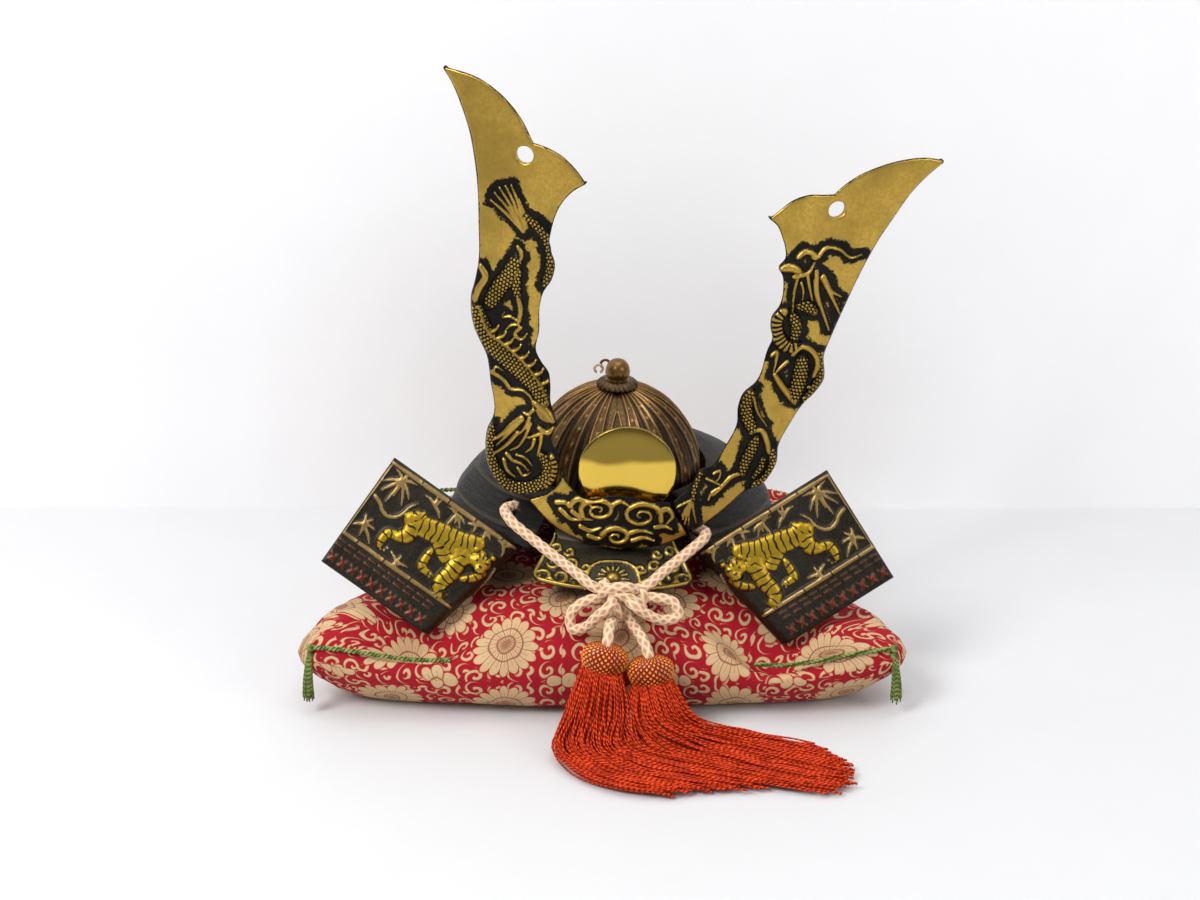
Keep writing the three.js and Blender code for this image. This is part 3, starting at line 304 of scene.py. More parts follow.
def polished_finish():
    """The polished disc, its top painted a darker olive as a painted reflection."""
    material, tree, shader = finish_of("polished_disc")
    place = place_of(tree)
    height = parts_of(tree, place)[2]
    slow = noise_of(tree, place, 45.0, 2.0, 0.4)
    # Painted reflection: the disc's top half is darker olive, its boundary wavering
    line = plus(tree, height, times(tree, minus(tree, slow, 0.5), 0.009))
    painted_reflection_top = ramp(tree, line, 0.0955, 0.0985)
    pits = ramp(tree, noise_of(tree, place, 650.0, 3.0, 0.6), 0.24, 0.3)
    gold = blend(tree, painted_reflection_top, (0.78, 0.53, 0.085, 1), (0.27, 0.185, 0.035, 1))
    tree.links.new(blend(tree, pits, OLD_GOLD, gold), shader.inputs["Base Color"])
    shader.inputs["Metallic"].default_value = 1
    tree.links.new(ramp(tree, slow, 0.3, 0.7, 0.16, 0.24), shader.inputs["Roughness"])
    return material


def lame_finish():
    """Dark grey iron, finely combed round the neck guard."""
    material, tree, shader = finish_of("combed_iron")
    wear = use(tree, WEAR, {"Speckle Size": 1200.0, "Cloud Size": 50.0})
    uv = uv_of(tree)
    stretched = stretch(tree, uv, (9, 190, 1))
    combed = noise_of(tree, stretched, 3.0, 3.0, 0.6)
    base = blend(tree, ramp(tree, combed, 0.35, 0.65), (0.012, 0.012, 0.011, 1), (0.075, 0.072, 0.066, 1))
    edge = times(tree, attribute(tree, "tone"), 0.6)
    base = blend(tree, edge, base, (0.16, 0.12, 0.07, 1))
    tree.links.new(base, shader.inputs["Base Color"])
    shader.inputs["Metallic"].default_value = 0.95
    tree.links.new(ramp(tree, wear["Speckle"], 0, 1, 0.42, 0.6), shader.inputs["Roughness"])
    tree.links.new(bump(tree, combed, 0.0008, 1.0), shader.inputs["Normal"])
    return material


def cord_finish():
    """Pale braid, with painted shade between its plaits and a painted highlight on its fibres."""
    material, tree, shader = finish_of("braided_cord")
    tone = attribute(tree, "tone")
    fibre = use(tree, THREAD, {"Round": 24.0, "Along": 60.0})["Rise"]
    # Painted shade: the braid darkens between its plaits, and its fibres get a painted highlight
    colour = blend(tree, tone, (0.48, 0.22, 0.09, 1), (0.90, 0.66, 0.44, 1))
    colour = blend(tree, times(tree, fibre, 0.25), colour, (0.96, 0.76, 0.55, 1))
    tree.links.new(colour, shader.inputs["Base Color"])
    shader.inputs["Roughness"].default_value = 0.75
    shader.inputs["Specular IOR Level"].default_value = 0.2
    tree.links.new(bump(tree, fibre, 0.00008, 0.5), shader.inputs["Normal"])
    return material


def silk_finish(name, deep, bright, along):
    """Twisted silk strands, with painted shade in the grooves of the twist and a painted highlight on its
    crests.
    """
    material, tree, shader = finish_of(name)
    twist = use(tree, THREAD, {"Round": 1.0, "Along": along})["Rise"]
    cloud = noise_of(tree, place_of(tree), 260.0, 2.0, 0.5)
    # Painted shade and highlight: deep in the twist's grooves, bright on its crests
    colour = blend(tree, twist, deep, bright)
    colour = blend(tree, ramp(tree, cloud, 0.35, 0.75, 0.0, 0.6), colour, deep)
    tree.links.new(colour, shader.inputs["Base Color"])
    shader.inputs["Roughness"].default_value = 0.5
    shader.inputs["Specular IOR Level"].default_value = 0.12
    tree.links.new(bump(tree, twist, 0.0002, 0.7), shader.inputs["Normal"])
    return material


def net_finish():
    """The heads' close net of bright thread, its knots in staggered rows, with painted shade between the
    knots and a painted highlight on their tops.
    """
    material, tree, shader = finish_of("netted_head")
    uv = parts_of(tree, uv_of(tree))
    knots = 1.0
    for way in (1.0, -1.0):
        turned = plus(tree, times(tree, uv[0], 22.0), times(tree, uv[1], 8.5 * way))
        wave = calc(tree, "ABSOLUTE", calc(tree, "SINE", times(tree, turned, math.pi), None), None)
        knots = times(tree, wave, knots)
    bead = ramp(tree, knots, 0.12, 0.62)
    # Painted shade between the knots, and a painted highlight on their tops
    colour = blend(tree, bead, (0.16, 0.008, 0.002, 1), (0.90, 0.17, 0.014, 1))
    colour = blend(tree, ramp(tree, knots, 0.7, 1.0, 0.0, 0.8), colour, (0.95, 0.42, 0.06, 1))
    tree.links.new(colour, shader.inputs["Base Color"])
    shader.inputs["Roughness"].default_value = 0.3
    tree.links.new(bump(tree, bead, 0.0009, 1.0), shader.inputs["Normal"])
    return material


# The brocade's repeat: flowers in staggered rows, scrolls between them. UV 1 is one repeat
FLOWERS = [
    {"shift": (0.0, 0.0), "radius": 0.29, "petals": 16, "core": 0.07},
    {"shift": (0.5, 0.5), "radius": 0.24, "petals": 10, "core": 0.05},
]


def lattice(tree, uv, shift, scale):
    """Distance and angle from the middle of the nearest cell of a lattice."""
    cell = vector_calc(tree, "FRACTION", {0: stretch(tree, uv, scale, (*shift, 0))})
    middle = vector_calc(tree, "SUBTRACT", {0: cell, 1: (0.5, 0.5, 0)})
    x, y, _ = parts_of(tree, middle)
    return distance_of(tree, x, y), calc(tree, "ARCTAN2", y, x)


def near_to(tree, value, target, width):
    """1 where the value is within a width of the target."""
    gap = calc(tree, "ABSOLUTE", minus(tree, value, target), None)
    return ramp(tree, gap, width, width * 0.5)


def brocade_finish():
    """Crimson silk with pale gold flowers and scrolls, their lines in dark red."""
    material, tree, shader = finish_of("brocade")
    uv = uv_of(tree)
    inputs = {"Vector": uv, "Scale": 3.0, "Detail": 1.0}
    waver = make(tree, "ShaderNodeTexNoise", {}, inputs).outputs["Color"]
    waver = vector_calc(tree, "SUBTRACT", {0: waver, 1: (0.5, 0.5, 0.5)})
    waver = vector_calc(tree, "SCALE", {0: waver, "Scale": 0.12})
    bent = vector_calc(tree, "ADD", {0: uv, 1: waver})
    figure = None
    lines = None
    clear = None
    for flower in FLOWERS:
        far, angle = lattice(tree, bent, flower["shift"], (1, 1, 1))
        half = times(tree, angle, flower["petals"] / 2)
        lobe = calc(tree, "ABSOLUTE", calc(tree, "COSINE", half, None), None)
        rim = plus(tree, times(tree, calc(tree, "POWER", lobe, 0.5), 0.3), 0.7)
        reach = times(tree, rim, flower["radius"])
        body = ramp(tree, minus(tree, reach, far), -0.004, 0.008)
        room = ramp(tree, minus(tree, far, reach), 0.0, 0.03)
        width = calc(tree, "DIVIDE", 0.013, calc(tree, "MAXIMUM", far, 0.03))
        ray = minus(tree, 1.0, ramp(tree, calc(tree, "DIVIDE", lobe, width), 1.2, 2.4))
        vein = calc(tree, "ABSOLUTE", calc(tree, "SINE", half, None), None)
        vein = minus(tree, 1.0, ramp(tree, calc(tree, "DIVIDE", vein, width), 0.5, 1.3))
        vein = times(tree, vein, ramp(tree, far, flower["radius"] * 0.75, flower["radius"] * 0.7))
        ring = near_to(tree, far, flower["core"], 0.012)
        inner = near_to(tree, far, flower["radius"] * 0.5, 0.01)
        mark = calc(tree, "MAXIMUM", calc(tree, "MAXIMUM", ray, vein), calc(tree, "MAXIMUM", ring, inner))
        mark = times(tree, mark, body)
        figure = body if figure is None else calc(tree, "MAXIMUM", figure, body)
        lines = mark if lines is None else calc(tree, "MAXIMUM", lines, mark)
        clear = room if clear is None else times(tree, clear, room)
    for shift, way in (((0.15, 0.1), 1.0), ((0.65, 0.35), -1.0)):
        far, angle = lattice(tree, bent, shift, (5.6, 5.6, 1))
        turn = times(tree, angle, way / (2 * math.pi))
        wind = calc(tree, "FRACT", plus(tree, turn, times(tree, far, 2.3)), None)
        band = times(tree, near_to(tree, wind, 0.5, 0.25), ramp(tree, far, 0.5, 0.44))
        side = ramp(tree, noise_of(tree, uv, 3.4, 0.0), 0.49, 0.51, 0.0, 1.0)
        side = side if way > 0 else minus(tree, 1.0, side)
        figure = calc(tree, "MAXIMUM", figure, times(tree, times(tree, band, side), clear))
    stretched = stretch(tree, uv, (55, 9, 1))
    thread = noise_of(tree, stretched, 3.0, 3.0, 0.7)
    inputs = {"Vector": uv, "Scale": 38.0}
    weft = make(tree, "ShaderNodeTexWave", {"bands_direction": "Y"}, inputs).outputs["Fac"]
    cream = blend(tree, thread, (0.44, 0.25, 0.11, 1), (0.80, 0.57, 0.32, 1))
    red = blend(tree, thread, (0.26, 0.003, 0.009, 1), (0.46, 0.006, 0.018, 1))
    colour = blend(tree, figure, red, cream)
    colour = blend(tree, times(tree, lines, 0.85), colour, (0.24, 0.06, 0.035, 1))
    tree.links.new(colour, shader.inputs["Base Color"])
    tree.links.new(ramp(tree, figure, 0, 1, 0.75, 0.55), shader.inputs["Roughness"])
    shader.inputs["Specular IOR Level"].default_value = 0.2
    raised = plus(tree, times(tree, figure, 0.6), times(tree, weft, 0.25))
    raised = minus(tree, raised, times(tree, lines, 0.3))
    tree.links.new(bump(tree, raised, 0.0004, 0.7), shader.inputs["Normal"])
    return material


crest_back = back_finish("crest_back", (0.20, 0.12, 0.03, 1), (0.55, 0.36, 0.08, 1))
plate_back = back_finish("plate_back", (0.02, 0.018, 0.015, 1), (0.07, 0.055, 0.04, 1))
crest_finish = cast_finish("gilt_crest", BLACK, GOLD)
plate_finish = cast_finish("turned_plate", GREY, (0.50, 0.33, 0.12, 1), 0.06, TIGER_YELLOW, 0.38)
visor_finish = cast_finish("visor_iron", GREY, (0.55, 0.38, 0.08, 1), 0.05, None, 0.35)
bowl_finish = cast_finish("bowl_bronze", (0.022, 0.016, 0.011, 1), (0.46, 0.25, 0.08, 1), 0.1, None, 0.32)
finial_finish = cast_finish("finial_bronze", (0.06, 0.04, 0.02, 1), (0.36, 0.19, 0.05, 1), 0.1, None, 0.3)
disc_finish = polished_finish()
guard_finish = lame_finish()
peach = cord_finish()
red_silk = silk_finish("red_silk", (0.24, 0.008, 0.002, 1), (0.84, 0.075, 0.012, 1), 1.0)
orange_net = net_finish()
green_silk = silk_finish("green_silk", (0.05, 0.08, 0.015, 1), (0.27, 0.33, 0.09, 1), 1.0)
brocade = brocade_finish()


# Mesh building
def curve_through(points, step):
    """Points along a smooth curve through the given ones, about a step apart."""
    points = np.array(points, float)
    run = np.concatenate([[0.0], np.cumsum(np.linalg.norm(np.diff(points, axis=0), axis=1))])
    slope = np.gradient(points, run, axis=0)
    at = np.linspace(0, run[-1], max(2, int(run[-1] / step) + 1))
    k = np.clip(np.searchsorted(run, at, side="right") - 1, 0, len(points) - 2)
    gap = (run[k + 1] - run[k])[:, None]
    t = (at - run[k])[:, None] / gap
    near = (2 * t**3 - 3 * t**2 + 1) * points[k] + (t**3 - 2 * t**2 + t) * slope[k] * gap
    return near + (3 * t**2 - 2 * t**3) * points[k + 1] + (t**3 - t**2) * slope[k + 1] * gap


# Columns and rows of the shaped sheets
GRIDS = {"head": (96, 56), "guard": (160, 72), "bowl": (384, 96), "finial": (96, 56), "visor": (150, 80)}


def grid(columns, rows):
    """A grid mesh and the u and v of its corners, from 0 to 1."""
    bm = bmesh.new()
    bmesh.ops.create_grid(bm, x_segments=columns, y_segments=rows, size=0.5)
    mesh = bpy.data.meshes.new("grid")
    bm.to_mesh(mesh)
    bm.free()
    at = corners_of(mesh)[:, :2] + 0.5
    return mesh, at[:, 0], at[:, 1]


def corners_of(mesh):
    flat = np.empty(len(mesh.vertices) * 3)
    mesh.vertices.foreach_get("co", flat)
    return flat.reshape(-1, 3)


def move_corners(mesh, points):
    mesh.vertices.foreach_set("co", (np.asarray(points, float) * MM).ravel())
    mesh.update()


def give(mesh, name, values):
    mesh.attributes.new(name, "FLOAT", "POINT").data.foreach_set("value", np.asarray(values, np.float32))


def give_uv(mesh, u, v):
    layer = mesh.uv_layers.new(name="UVMap")
    index = np.empty(len(mesh.loops), int)
    mesh.loops.foreach_get("vertex_index", index)
    layer.data.foreach_set("uv", np.stack([np.asarray(u)[index], np.asarray(v)[index]], 1).ravel())


def join_seams(mesh, turn_out=None):
    """Merge doubled corners, and turn the faces away from a point if asked."""
    bm = bmesh.new()
    bm.from_mesh(mesh)
    bmesh.ops.remove_doubles(bm, verts=bm.verts, dist=1e-6)
    bmesh.ops.dissolve_degenerate(bm, edges=bm.edges, dist=1e-7)
    if turn_out is None:
        bmesh.ops.recalc_face_normals(bm, faces=bm.faces)
    else:
        middle = Vector(turn_out) * MM
        facing = sum((f.calc_center_median() - middle).dot(f.normal) * f.calc_area() for f in bm.faces)
        if facing < 0:
            bmesh.ops.reverse_faces(bm, faces=bm.faces)
    bm.to_mesh(mesh)
    bm.free()


def trim(mesh, keep):
    """Delete the corners that aren't kept, and those left without a face."""
    bm = bmesh.new()
    bm.from_mesh(mesh)
    bmesh.ops.delete(bm, geom=[w for w, k in zip(bm.verts, keep) if not k], context="VERTS")
    bmesh.ops.delete(bm, geom=[w for w in bm.verts if not w.link_faces], context="VERTS")
    bm.to_mesh(mesh)
    bm.free()


def add_piece(name, mesh, material, node, wall=0.0, back=None):
    mesh.name = name
    for face in mesh.polygons:
        face.use_smooth = True
    mesh.materials.append(material)
    if back:
        mesh.materials.append(back)
    made = bpy.data.objects.new(name, mesh)
    bpy.context.scene.collection.objects.link(made)
    if wall:
        solid = made.modifiers.new("wall", "SOLIDIFY")
        solid.thickness = wall * MM
        solid.offset = -1
        solid.material_offset = 1 if back else 0
    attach(made, "root")
    if node:
        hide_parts(*([node] if isinstance(node, str) else node))
    return made


def frames_along(line):
    """Two directions square to a line at each of its points, carried along without twist."""
    way = np.gradient(line, axis=0)
    way /= np.linalg.norm(way, axis=1)[:, None]
    side = np.cross(way[0], [0.3, 0.2, 1.0])
    sides = []
    for w in way:
        side = side - w * side.dot(w)
        side /= np.linalg.norm(side)
        sides.append(side)
    sides = np.array(sides)
    return sides, np.cross(way, sides)


def tube_mesh(line, radius, around, shape=None):
    """A tube along a line with closed ends. shape(turn, along) gives its radius as a share, and its tone."""
    line = np.asarray(line, float)
    sides, ups = frames_along(line)
    run = np.concatenate([[0.0], np.cumsum(np.linalg.norm(np.diff(line, axis=0), axis=1))])
    mesh, u, v = grid(around, len(line) + 1)
    row = np.rint(v * (len(line) + 1)).astype(int)
    end = (row == 0) | (row == len(line) + 1)
    k = np.clip(row - 1, 0, len(line) - 1)
    share, tone = shape(u, run[k]) if shape else (np.ones_like(u), np.ones_like(u))
    wide = np.where(end, 0.0, radius * share)[:, None]
    angle = 2 * np.pi * u
    out = sides[k] * np.cos(angle)[:, None] + ups[k] * np.sin(angle)[:, None]
    move_corners(mesh, line[k] + out * wide)
    give(mesh, "tone", tone)
    give_uv(mesh, u, run[k] / (2 * math.pi * radius) + 0.37 * line[0][0] + 0.61 * line[-1][1])
    join_seams(mesh)
    return mesh


def merge_meshes(name, meshes):
    bm = bmesh.new()
    for mesh in meshes:
        bm.from_mesh(mesh)
    merged = bpy.data.meshes.new(name)
    bm.to_mesh(merged)
    bm.free()
    return merged


# Chin cord: a round braid whose plaits cross as lozenges
CORD = 4.6
PLAITS = 8
PLAIT_PITCH = 4.4
CORD_SIDES = 32
CORD_STEP = 0.45
KNOT = np.array([3.0, -67.5, 51.0])


def braid(turn, along):
    """The cord's radius as a share, and its tone, low between the plaits as painted shade."""
    way = along / PLAIT_PITCH
    one = np.cos(2 * np.pi * (turn * PLAITS / 2 + way))
    two = np.cos(2 * np.pi * (turn * PLAITS / 2 - way))
    rise = np.maximum(one, two)
    return 0.86 + 0.09 * rise, np.clip(0.1 + 0.95 * rise, 0, 1)


# The helmet's slight roll to one side
ROLL = math.radians(1.8)
ROLL_CENTRE = 60.5
CLEARANCE = 0.3


def rolled(points):
    """Points of the helmet turned by its slight roll."""
    x, y, z = np.moveaxis(np.asarray(points, float), -1, 0)
    up = z - ROLL_CENTRE
    across = x * math.cos(ROLL) + up * math.sin(ROLL)
    return np.stack([across, y, up * math.cos(ROLL) - x * math.sin(ROLL) + ROLL_CENTRE], -1)


def read_smooth(rows, share):
    """Smooth reading of a table's rows, evenly spaced, at shares of its length."""
    rows = np.array(rows, float)
    slope = np.gradient(rows, axis=0)
    at = np.clip(share, 0, 1) * (len(rows) - 1)
    k = np.minimum(at.astype(int), len(rows) - 2)
    t = (at - k)[..., None]
    near = (2 * t**3 - 3 * t**2 + 1) * rows[k] + (t**3 - 2 * t**2 + t) * slope[k]
    return near + (3 * t**2 - 2 * t**3) * rows[k + 1] + (t**3 - t**2) * slope[k + 1]


def turned_about_y(turn):
    return np.array([[math.cos(turn), 0, math.sin(turn)], [0, 1, 0], [-math.sin(turn), 0, math.cos(turn)]])


def polar(angle, radius, z):
    """Points at an angle from the front, in degrees, and a radius from the bowl's axis."""
    turn = np.radians(angle)
    return np.stack([radius * np.sin(turn), -radius * np.cos(turn), z + 0 * turn], -1)


# Neck guard: shares of its flare, its drop and its radius at the front
GUARD_SEAT = 36.6
GUARD_WALL = 2.0
GUARD_FLARE = 35.0
GUARD_TOP = 80.0
GUARD_DROP = 39.0
GUARD_FRONT = 38.0
GUARD_PROFILE = [
    (0, 0, 1), (0.26, 0.02, 0.9), (0.52, 0.12, 0.8), (0.69, 0.27, 0.73), (0.8, 0.46, 0.81), (0.9, 0.69, 0.94),
    (1, 1, 1.08),
]
LAME_EDGES = [0.34, 0.62, 0.9]
LAME_RIDGE = 0.018
LAME_RIM = 0.02
LAMES = 3.2
HOLE_CLEAR = 0.4
CORD_HOLES = {"left": (0.47, 17, -1), "right": (0.58, 6, 1)}


def guard_at(down, around, proud=0.0):
    """Points of the guard at shares of its drop and of its run from front end to front end."""
    angle = 360 - GUARD_FRONT - around * (360 - 2 * GUARD_FRONT)
    from_front = np.minimum(angle, 360 - angle)
    to_front = np.maximum(90 - from_front, 0) / (90 - GUARD_FRONT)
    out, fall, front = np.moveaxis(read_smooth(GUARD_PROFILE, down), -1, 0)
    front = 1 + (front - 1) * to_front
    radius = (GUARD_SEAT + GUARD_WALL + GUARD_FLARE * out) * front
    return polar(angle, radius + proud, GUARD_TOP - GUARD_DROP * fall)


def cord_hole(side):
    """The middle of a cord's hole in the guard, and the way out of it."""
    down, degrees, way = CORD_HOLES[side]
    share = degrees / (360 - 2 * GUARD_FRONT)
    spot = guard_at(np.array(down), np.array(share if way < 0 else 1 - share))
    out = spot * [1, 1, 0]
    return rolled(spot), out / np.linalg.norm(out)


CORD_POINTS = {
    "left": [(-42, -40.5, 72), (-30, -50.5, 65.5), (-16, -60.5, 58.5), (-7, -66.5, 54)],
    "right": [(36.6, -44, 65), (31, -50, 62.5), (20, -59, 57.5), (12.5, -65.5, 54)],
    "tail_left": [(0, -72.5, 43), (-1.4, -79, 44.5), (-2.4, -86.6, 41.5), (-3.6, -87.6, 34)],
    "tail_right": [(7, -73, 42), (10, -79.5, 40.5), (13.3, -87, 36), (14.6, -88.3, 27.5)],
    "loop_left": [
        (-4.4, -68.3, 50.6), (-11, -68.5, 49), (-17, -69.5, 43.5), (-16.5, -71.5, 38.5), (-11, -74, 40.5),
        (-6.5, -76.5, 46.5), (-2, -77, 51), (0.2, -72.4, 51.6),
    ],
    "loop_right": [
        (10.6, -68.3, 50.6), (17, -68.5, 50.5), (24, -69.5, 48.5), (25.5, -71.5, 44.5), (20, -74, 43.5),
        (13, -76.5, 47.5), (8, -77, 51.5), (5.8, -72.4, 51.6),
    ],
    "back": [
        (-37, -19, 67), (-42, -6, 63), (-42, 12, 60), (-34, 30, 58), (-16, 43, 57),
        (8, 45, 57), (28, 36, 57), (41, 14, 58), (40, -6, 60), (34, -21, 62),
    ],
}
WRAPS = [
    [
        (-4.5, -68, 57.5), (-1.5, -71.5, 55.6), (3.5, -73, 54), (8, -72.5, 51.5), (11.2, -71, 47.5),
        (10.4, -68.5, 45),
    ],
    [(-3.5, -67.5, 49.5), (-4.6, -70, 53), (-1, -72.4, 56.6), (4.5, -72.2, 57.2), (8.6, -69.5, 54.6)],
    [(-0.5, -70, 53.8), (-0.4, -73.6, 51.4), (1.6, -74.2, 47.6), (2.6, -71.5, 44.6)],
    [(8.5, -68, 54), (11.6, -69.6, 52.4), (11.2, -69.6, 49.2), (8.5, -68, 47.4)],
]


def length_of(line):
    return float(np.linalg.norm(np.diff(line, axis=0), axis=1).sum()) * MM


def lay_cord(name, line, node):
    mesh = tube_mesh(line, CORD / 2, CORD_SIDES, braid)
    made = add_piece(name, mesh, peach, node)
    return made


def cord_lines():
    lines = {}
    for side in ("left", "right"):
        spot, out = cord_hole(side)
        start = [spot, spot + out * CORD / 2]
        through = KNOT + [0, 1.5, 0]
        points = [*start, *CORD_POINTS[side], through, *CORD_POINTS["tail_" + side]]
        lines["strand_" + side] = curve_through(points, CORD_STEP)
        lines["loop_" + side] = curve_through(CORD_POINTS["loop_" + side], CORD_STEP)
    (left, left_out), (right, right_out) = cord_hole("left"), cord_hole("right")
    inside = [left - left_out * CLEARANCE, left - left_out * CORD * 1.3]
    back = [right - right_out * CORD * 1.3, right - right_out * CLEARANCE]
    lines["back"] = curve_through([*inside, *CORD_POINTS["back"], *back], 0.6)
    return lines


# Tassels: heads, and locks whose strands fall down the cushion and sweep over the table
TASSELS = {
    "left": {
        "head": (-3.4, -87.5, 35),
        "lean": 12,
        "locks": [
            [
                (-7.5, -89, 31), (-20, -97, 15), (-23, -105, 5), (-15, -119, 3.2),
                (0, -130, 2.9), (22, -136, 2.7),
            ],
            [
                (-3.5, -89.5, 31), (-12, -99, 15), (-13, -108, 6), (-4, -119, 4),
                (12, -127, 3.2), (36, -133, 2.7),
            ],
            [(0.5, -89, 32), (-4, -100, 15), (-4, -109, 6), (8, -118, 4), (28, -125, 3.2), (54, -131, 2.7)],
            [(2.5, -89, 32), (2, -100, 15), (4, -108, 7), (18, -115, 5), (42, -123, 4), (68, -129, 2.7)],
        ],
    },
    "right": {
        "head": (14.2, -88, 29.8),
        "lean": -8,
        "locks": [
            [(11, -90, 26.5), (5, -101, 14), (6, -110, 7.5), (22, -118, 5), (52, -127, 4), (84, -135, 2.7)],
            [
                (14, -90.5, 26), (18, -101, 13), (28, -106, 6.5), (48, -113, 4.5),
                (70, -121, 3.2), (92, -129, 2.7),
            ],
            [(17.5, -90, 26), (28, -98, 12), (42, -102, 6), (58, -105, 4), (76, -111, 3.2), (92, -116, 2.7)],
            [(19.5, -89, 27), (34, -95, 12), (48, -97, 6), (60, -98, 4), (72, -101, 3.2), (84, -105, 2.7)],
        ],
    },
}
HEAD_RADIUS = 9.0
HEAD_HEIGHT = 10.5
HEAD_DEPTH = 0.7
HEAD_PROFILE = [
    (0, 0.5), (0.3, 0.5), (0.62, 0.42), (0.92, 0.2), (1, -0.1), (0.92, -0.38), (0.8, -0.5), (0, -0.46),
]
NET_ROWS = 17
NET_KNOTS = 26
# Strands: how many, their radius, the points on each, and how far they stray from their lock
STRANDS = 300
STRAND = 0.33
STRAND_POINTS = 26
STRAND_SPREAD = 0.04
STRAND_STRAY = np.array([1.3, 1.04, 0.585])
STRAND_END = 0.9


def thick_from(cut):
    """A strand's outline: thicker from the cut on, where its end is whipped."""
    return lambda u, along: (1 + 0.6 * (along > cut), 1 + 0 * u)


def make_head(side, tassel):
    """A netted head on its lean."""
    mesh, u, v = grid(*GRIDS["head"])
    reach, rise = np.moveaxis(read_smooth(HEAD_PROFILE, v), -1, 0)
    one, two = (np.abs(np.sin(math.pi * (u * NET_KNOTS + way * v * NET_ROWS / 2))) for way in (1, -1))
    net = one * two
    wide = HEAD_RADIUS * np.maximum(reach, 0) * (0.95 + 0.1 * net)
    angle = 2 * np.pi * u
    local = np.stack([wide * np.cos(angle), wide * HEAD_DEPTH * np.sin(angle), rise * HEAD_HEIGHT], -1)
    move_corners(mesh, local @ turned_about_y(math.radians(tassel["lean"])).T + tassel["head"])
    give_uv(mesh, u, v)
    join_seams(mesh)
    return add_piece("tassel_head_" + side, mesh, orange_net, None)


# How far an outer strand stands off its lock, at each of the lock's points
LAYER = [(0, 0, 0), (0, -4, 2.5), (0, -2.6, 3.2), (0, -2, 2.4), (0, -1.2, 1.6), (0, -0.6, 1)]


def make_skirt(side, tassel, seed):
    rng = np.random.default_rng(seed)
    locks = np.array(tassel["locks"])
    turn = turned_about_y(math.radians(tassel["lean"]))
    meshes = []
    for number in range(STRANDS):
        across = np.clip((number + 0.5) / STRANDS + rng.normal(0, STRAND_SPREAD), 0, 1)
        depth = rng.uniform(-0.6, 1)
        guide = read_smooth(locks.reshape(len(locks), -1), np.array(across)).reshape(-1, 3)
        x = 2 * across - 1
        y = -np.sign(depth) * math.sqrt(max(1 - x * x, 0)) * min(1, abs(depth) * 1.6)
        root = turn @ [0.86 * HEAD_RADIUS * x, 0.6 * HEAD_RADIUS * y, -0.46 * HEAD_HEIGHT] + tassel["head"]
        body = guide + np.array(LAYER) * (depth - 0.1)
        body[0] = root
        body[1] = 0.6 * body[1] + 0.4 * (root + [4 * x, -7 - 2 * depth, body[1][2] - root[2]])
        body[1:] += rng.normal(0, 1, (5, 3)) * STRAND_STRAY
        body[-1] = body[-2] + (body[-1] - body[-2]) * rng.uniform(0.3, 0.94)
        line = curve_through(body, 1.0)
        line = line[np.linspace(0, len(line) - 1, STRAND_POINTS).astype(int)]
        line[:, 2] = np.maximum(line[:, 2], STRAND + 0.1)
        cut = length_of(line) / MM - STRAND_END
        meshes.append(tube_mesh(line, STRAND, 5, thick_from(cut)))
    merged = merge_meshes("tassel_skirt_" + side, meshes)
    for mesh in meshes:
        bpy.data.meshes.remove(mesh)
    return add_piece("tassel_skirt_" + side, merged, red_silk, "tassel_" + side)


def make_cords():
    """The chin cord's stretches, the bow and the two tassels."""
    lines = cord_lines()
    for seed, side in enumerate(("left", "right")):
        make_head(side, TASSELS[side])
        make_skirt(side, TASSELS[side], seed + 5)
    wraps = [tube_mesh(curve_through(points, CORD_STEP), CORD / 2, CORD_SIDES, braid) for points in WRAPS]
    knot = add_piece("bow_wraps", merge_meshes("bow_wraps", wraps), peach, "bow_knot")
    nodes = ["cord_left", "cord_tail_left"]
    lay_cord("strand_left", lines["strand_left"], nodes)
    nodes = ["cord_right", "cord_tail_right"]
    lay_cord("strand_right", lines["strand_right"], nodes)
    for side in ("left", "right"):
        lay_cord("loop_" + side, lines["loop_" + side], "bow_loop_" + side)
    lay_cord("hidden_stretch", lines["back"], "cord_back")


make_cords()


# Relief: strokes of [kind, width, rise, path] raised from a plate, in its own millimetres
BAMBOO_PITCH = 13.0
STROKE_MARKS = {
    "paint": ["tiger", "pelt"],
    "stripes": ["tiger"],
    "lace": ["lace"],
    "scales": ["scales"],
    "belly": ["belly"],
}


def relief(at, strokes, halo=6.0):
    """Height, tone and marks of the strokes at a plate's corners, and how near each corner is to a stroke."""
    count = len(at)
    found = {name: np.zeros(count) for name in ("height", "tone", "along", "side", *STROKE_MARKS)}
    near = np.full(count, halo)
    for kind, width, rise, path in strokes:
        line = curve_through(path, 0.7)
        reach = width / 2 + halo
        picked = np.nonzero(((at > line.min(0) - reach) & (at < line.max(0) + reach)).all(1))[0]
        if not len(picked):
            continue
        d, along, side, total = measured_from(at[picked], line)
        share = along / total
        taper = 1 - 0.7 * share**2 if kind == "strand" else 0.62 + 0.38 * np.sin(np.pi * share) ** 0.5
        half = width / 2 * taper
        q = d / half
        dome = np.sqrt(np.clip(1 - q * q, 0, 1))
        height, tone = stroke_face(kind, rise, dome, along, side)
        better = (q < 1) & (height > found["height"][picked])
        index = picked[better]
        values = {"height": height, "tone": tone, "along": along, "side": side}
        for name, value in values.items():
            found[name][index] = value[better]
        for name, kinds in STROKE_MARKS.items():
            found[name][index] = 1.0 if kind in kinds else 0.0
        near[picked] = np.minimum(near[picked], d - half)
    found["near"] = near
    return found


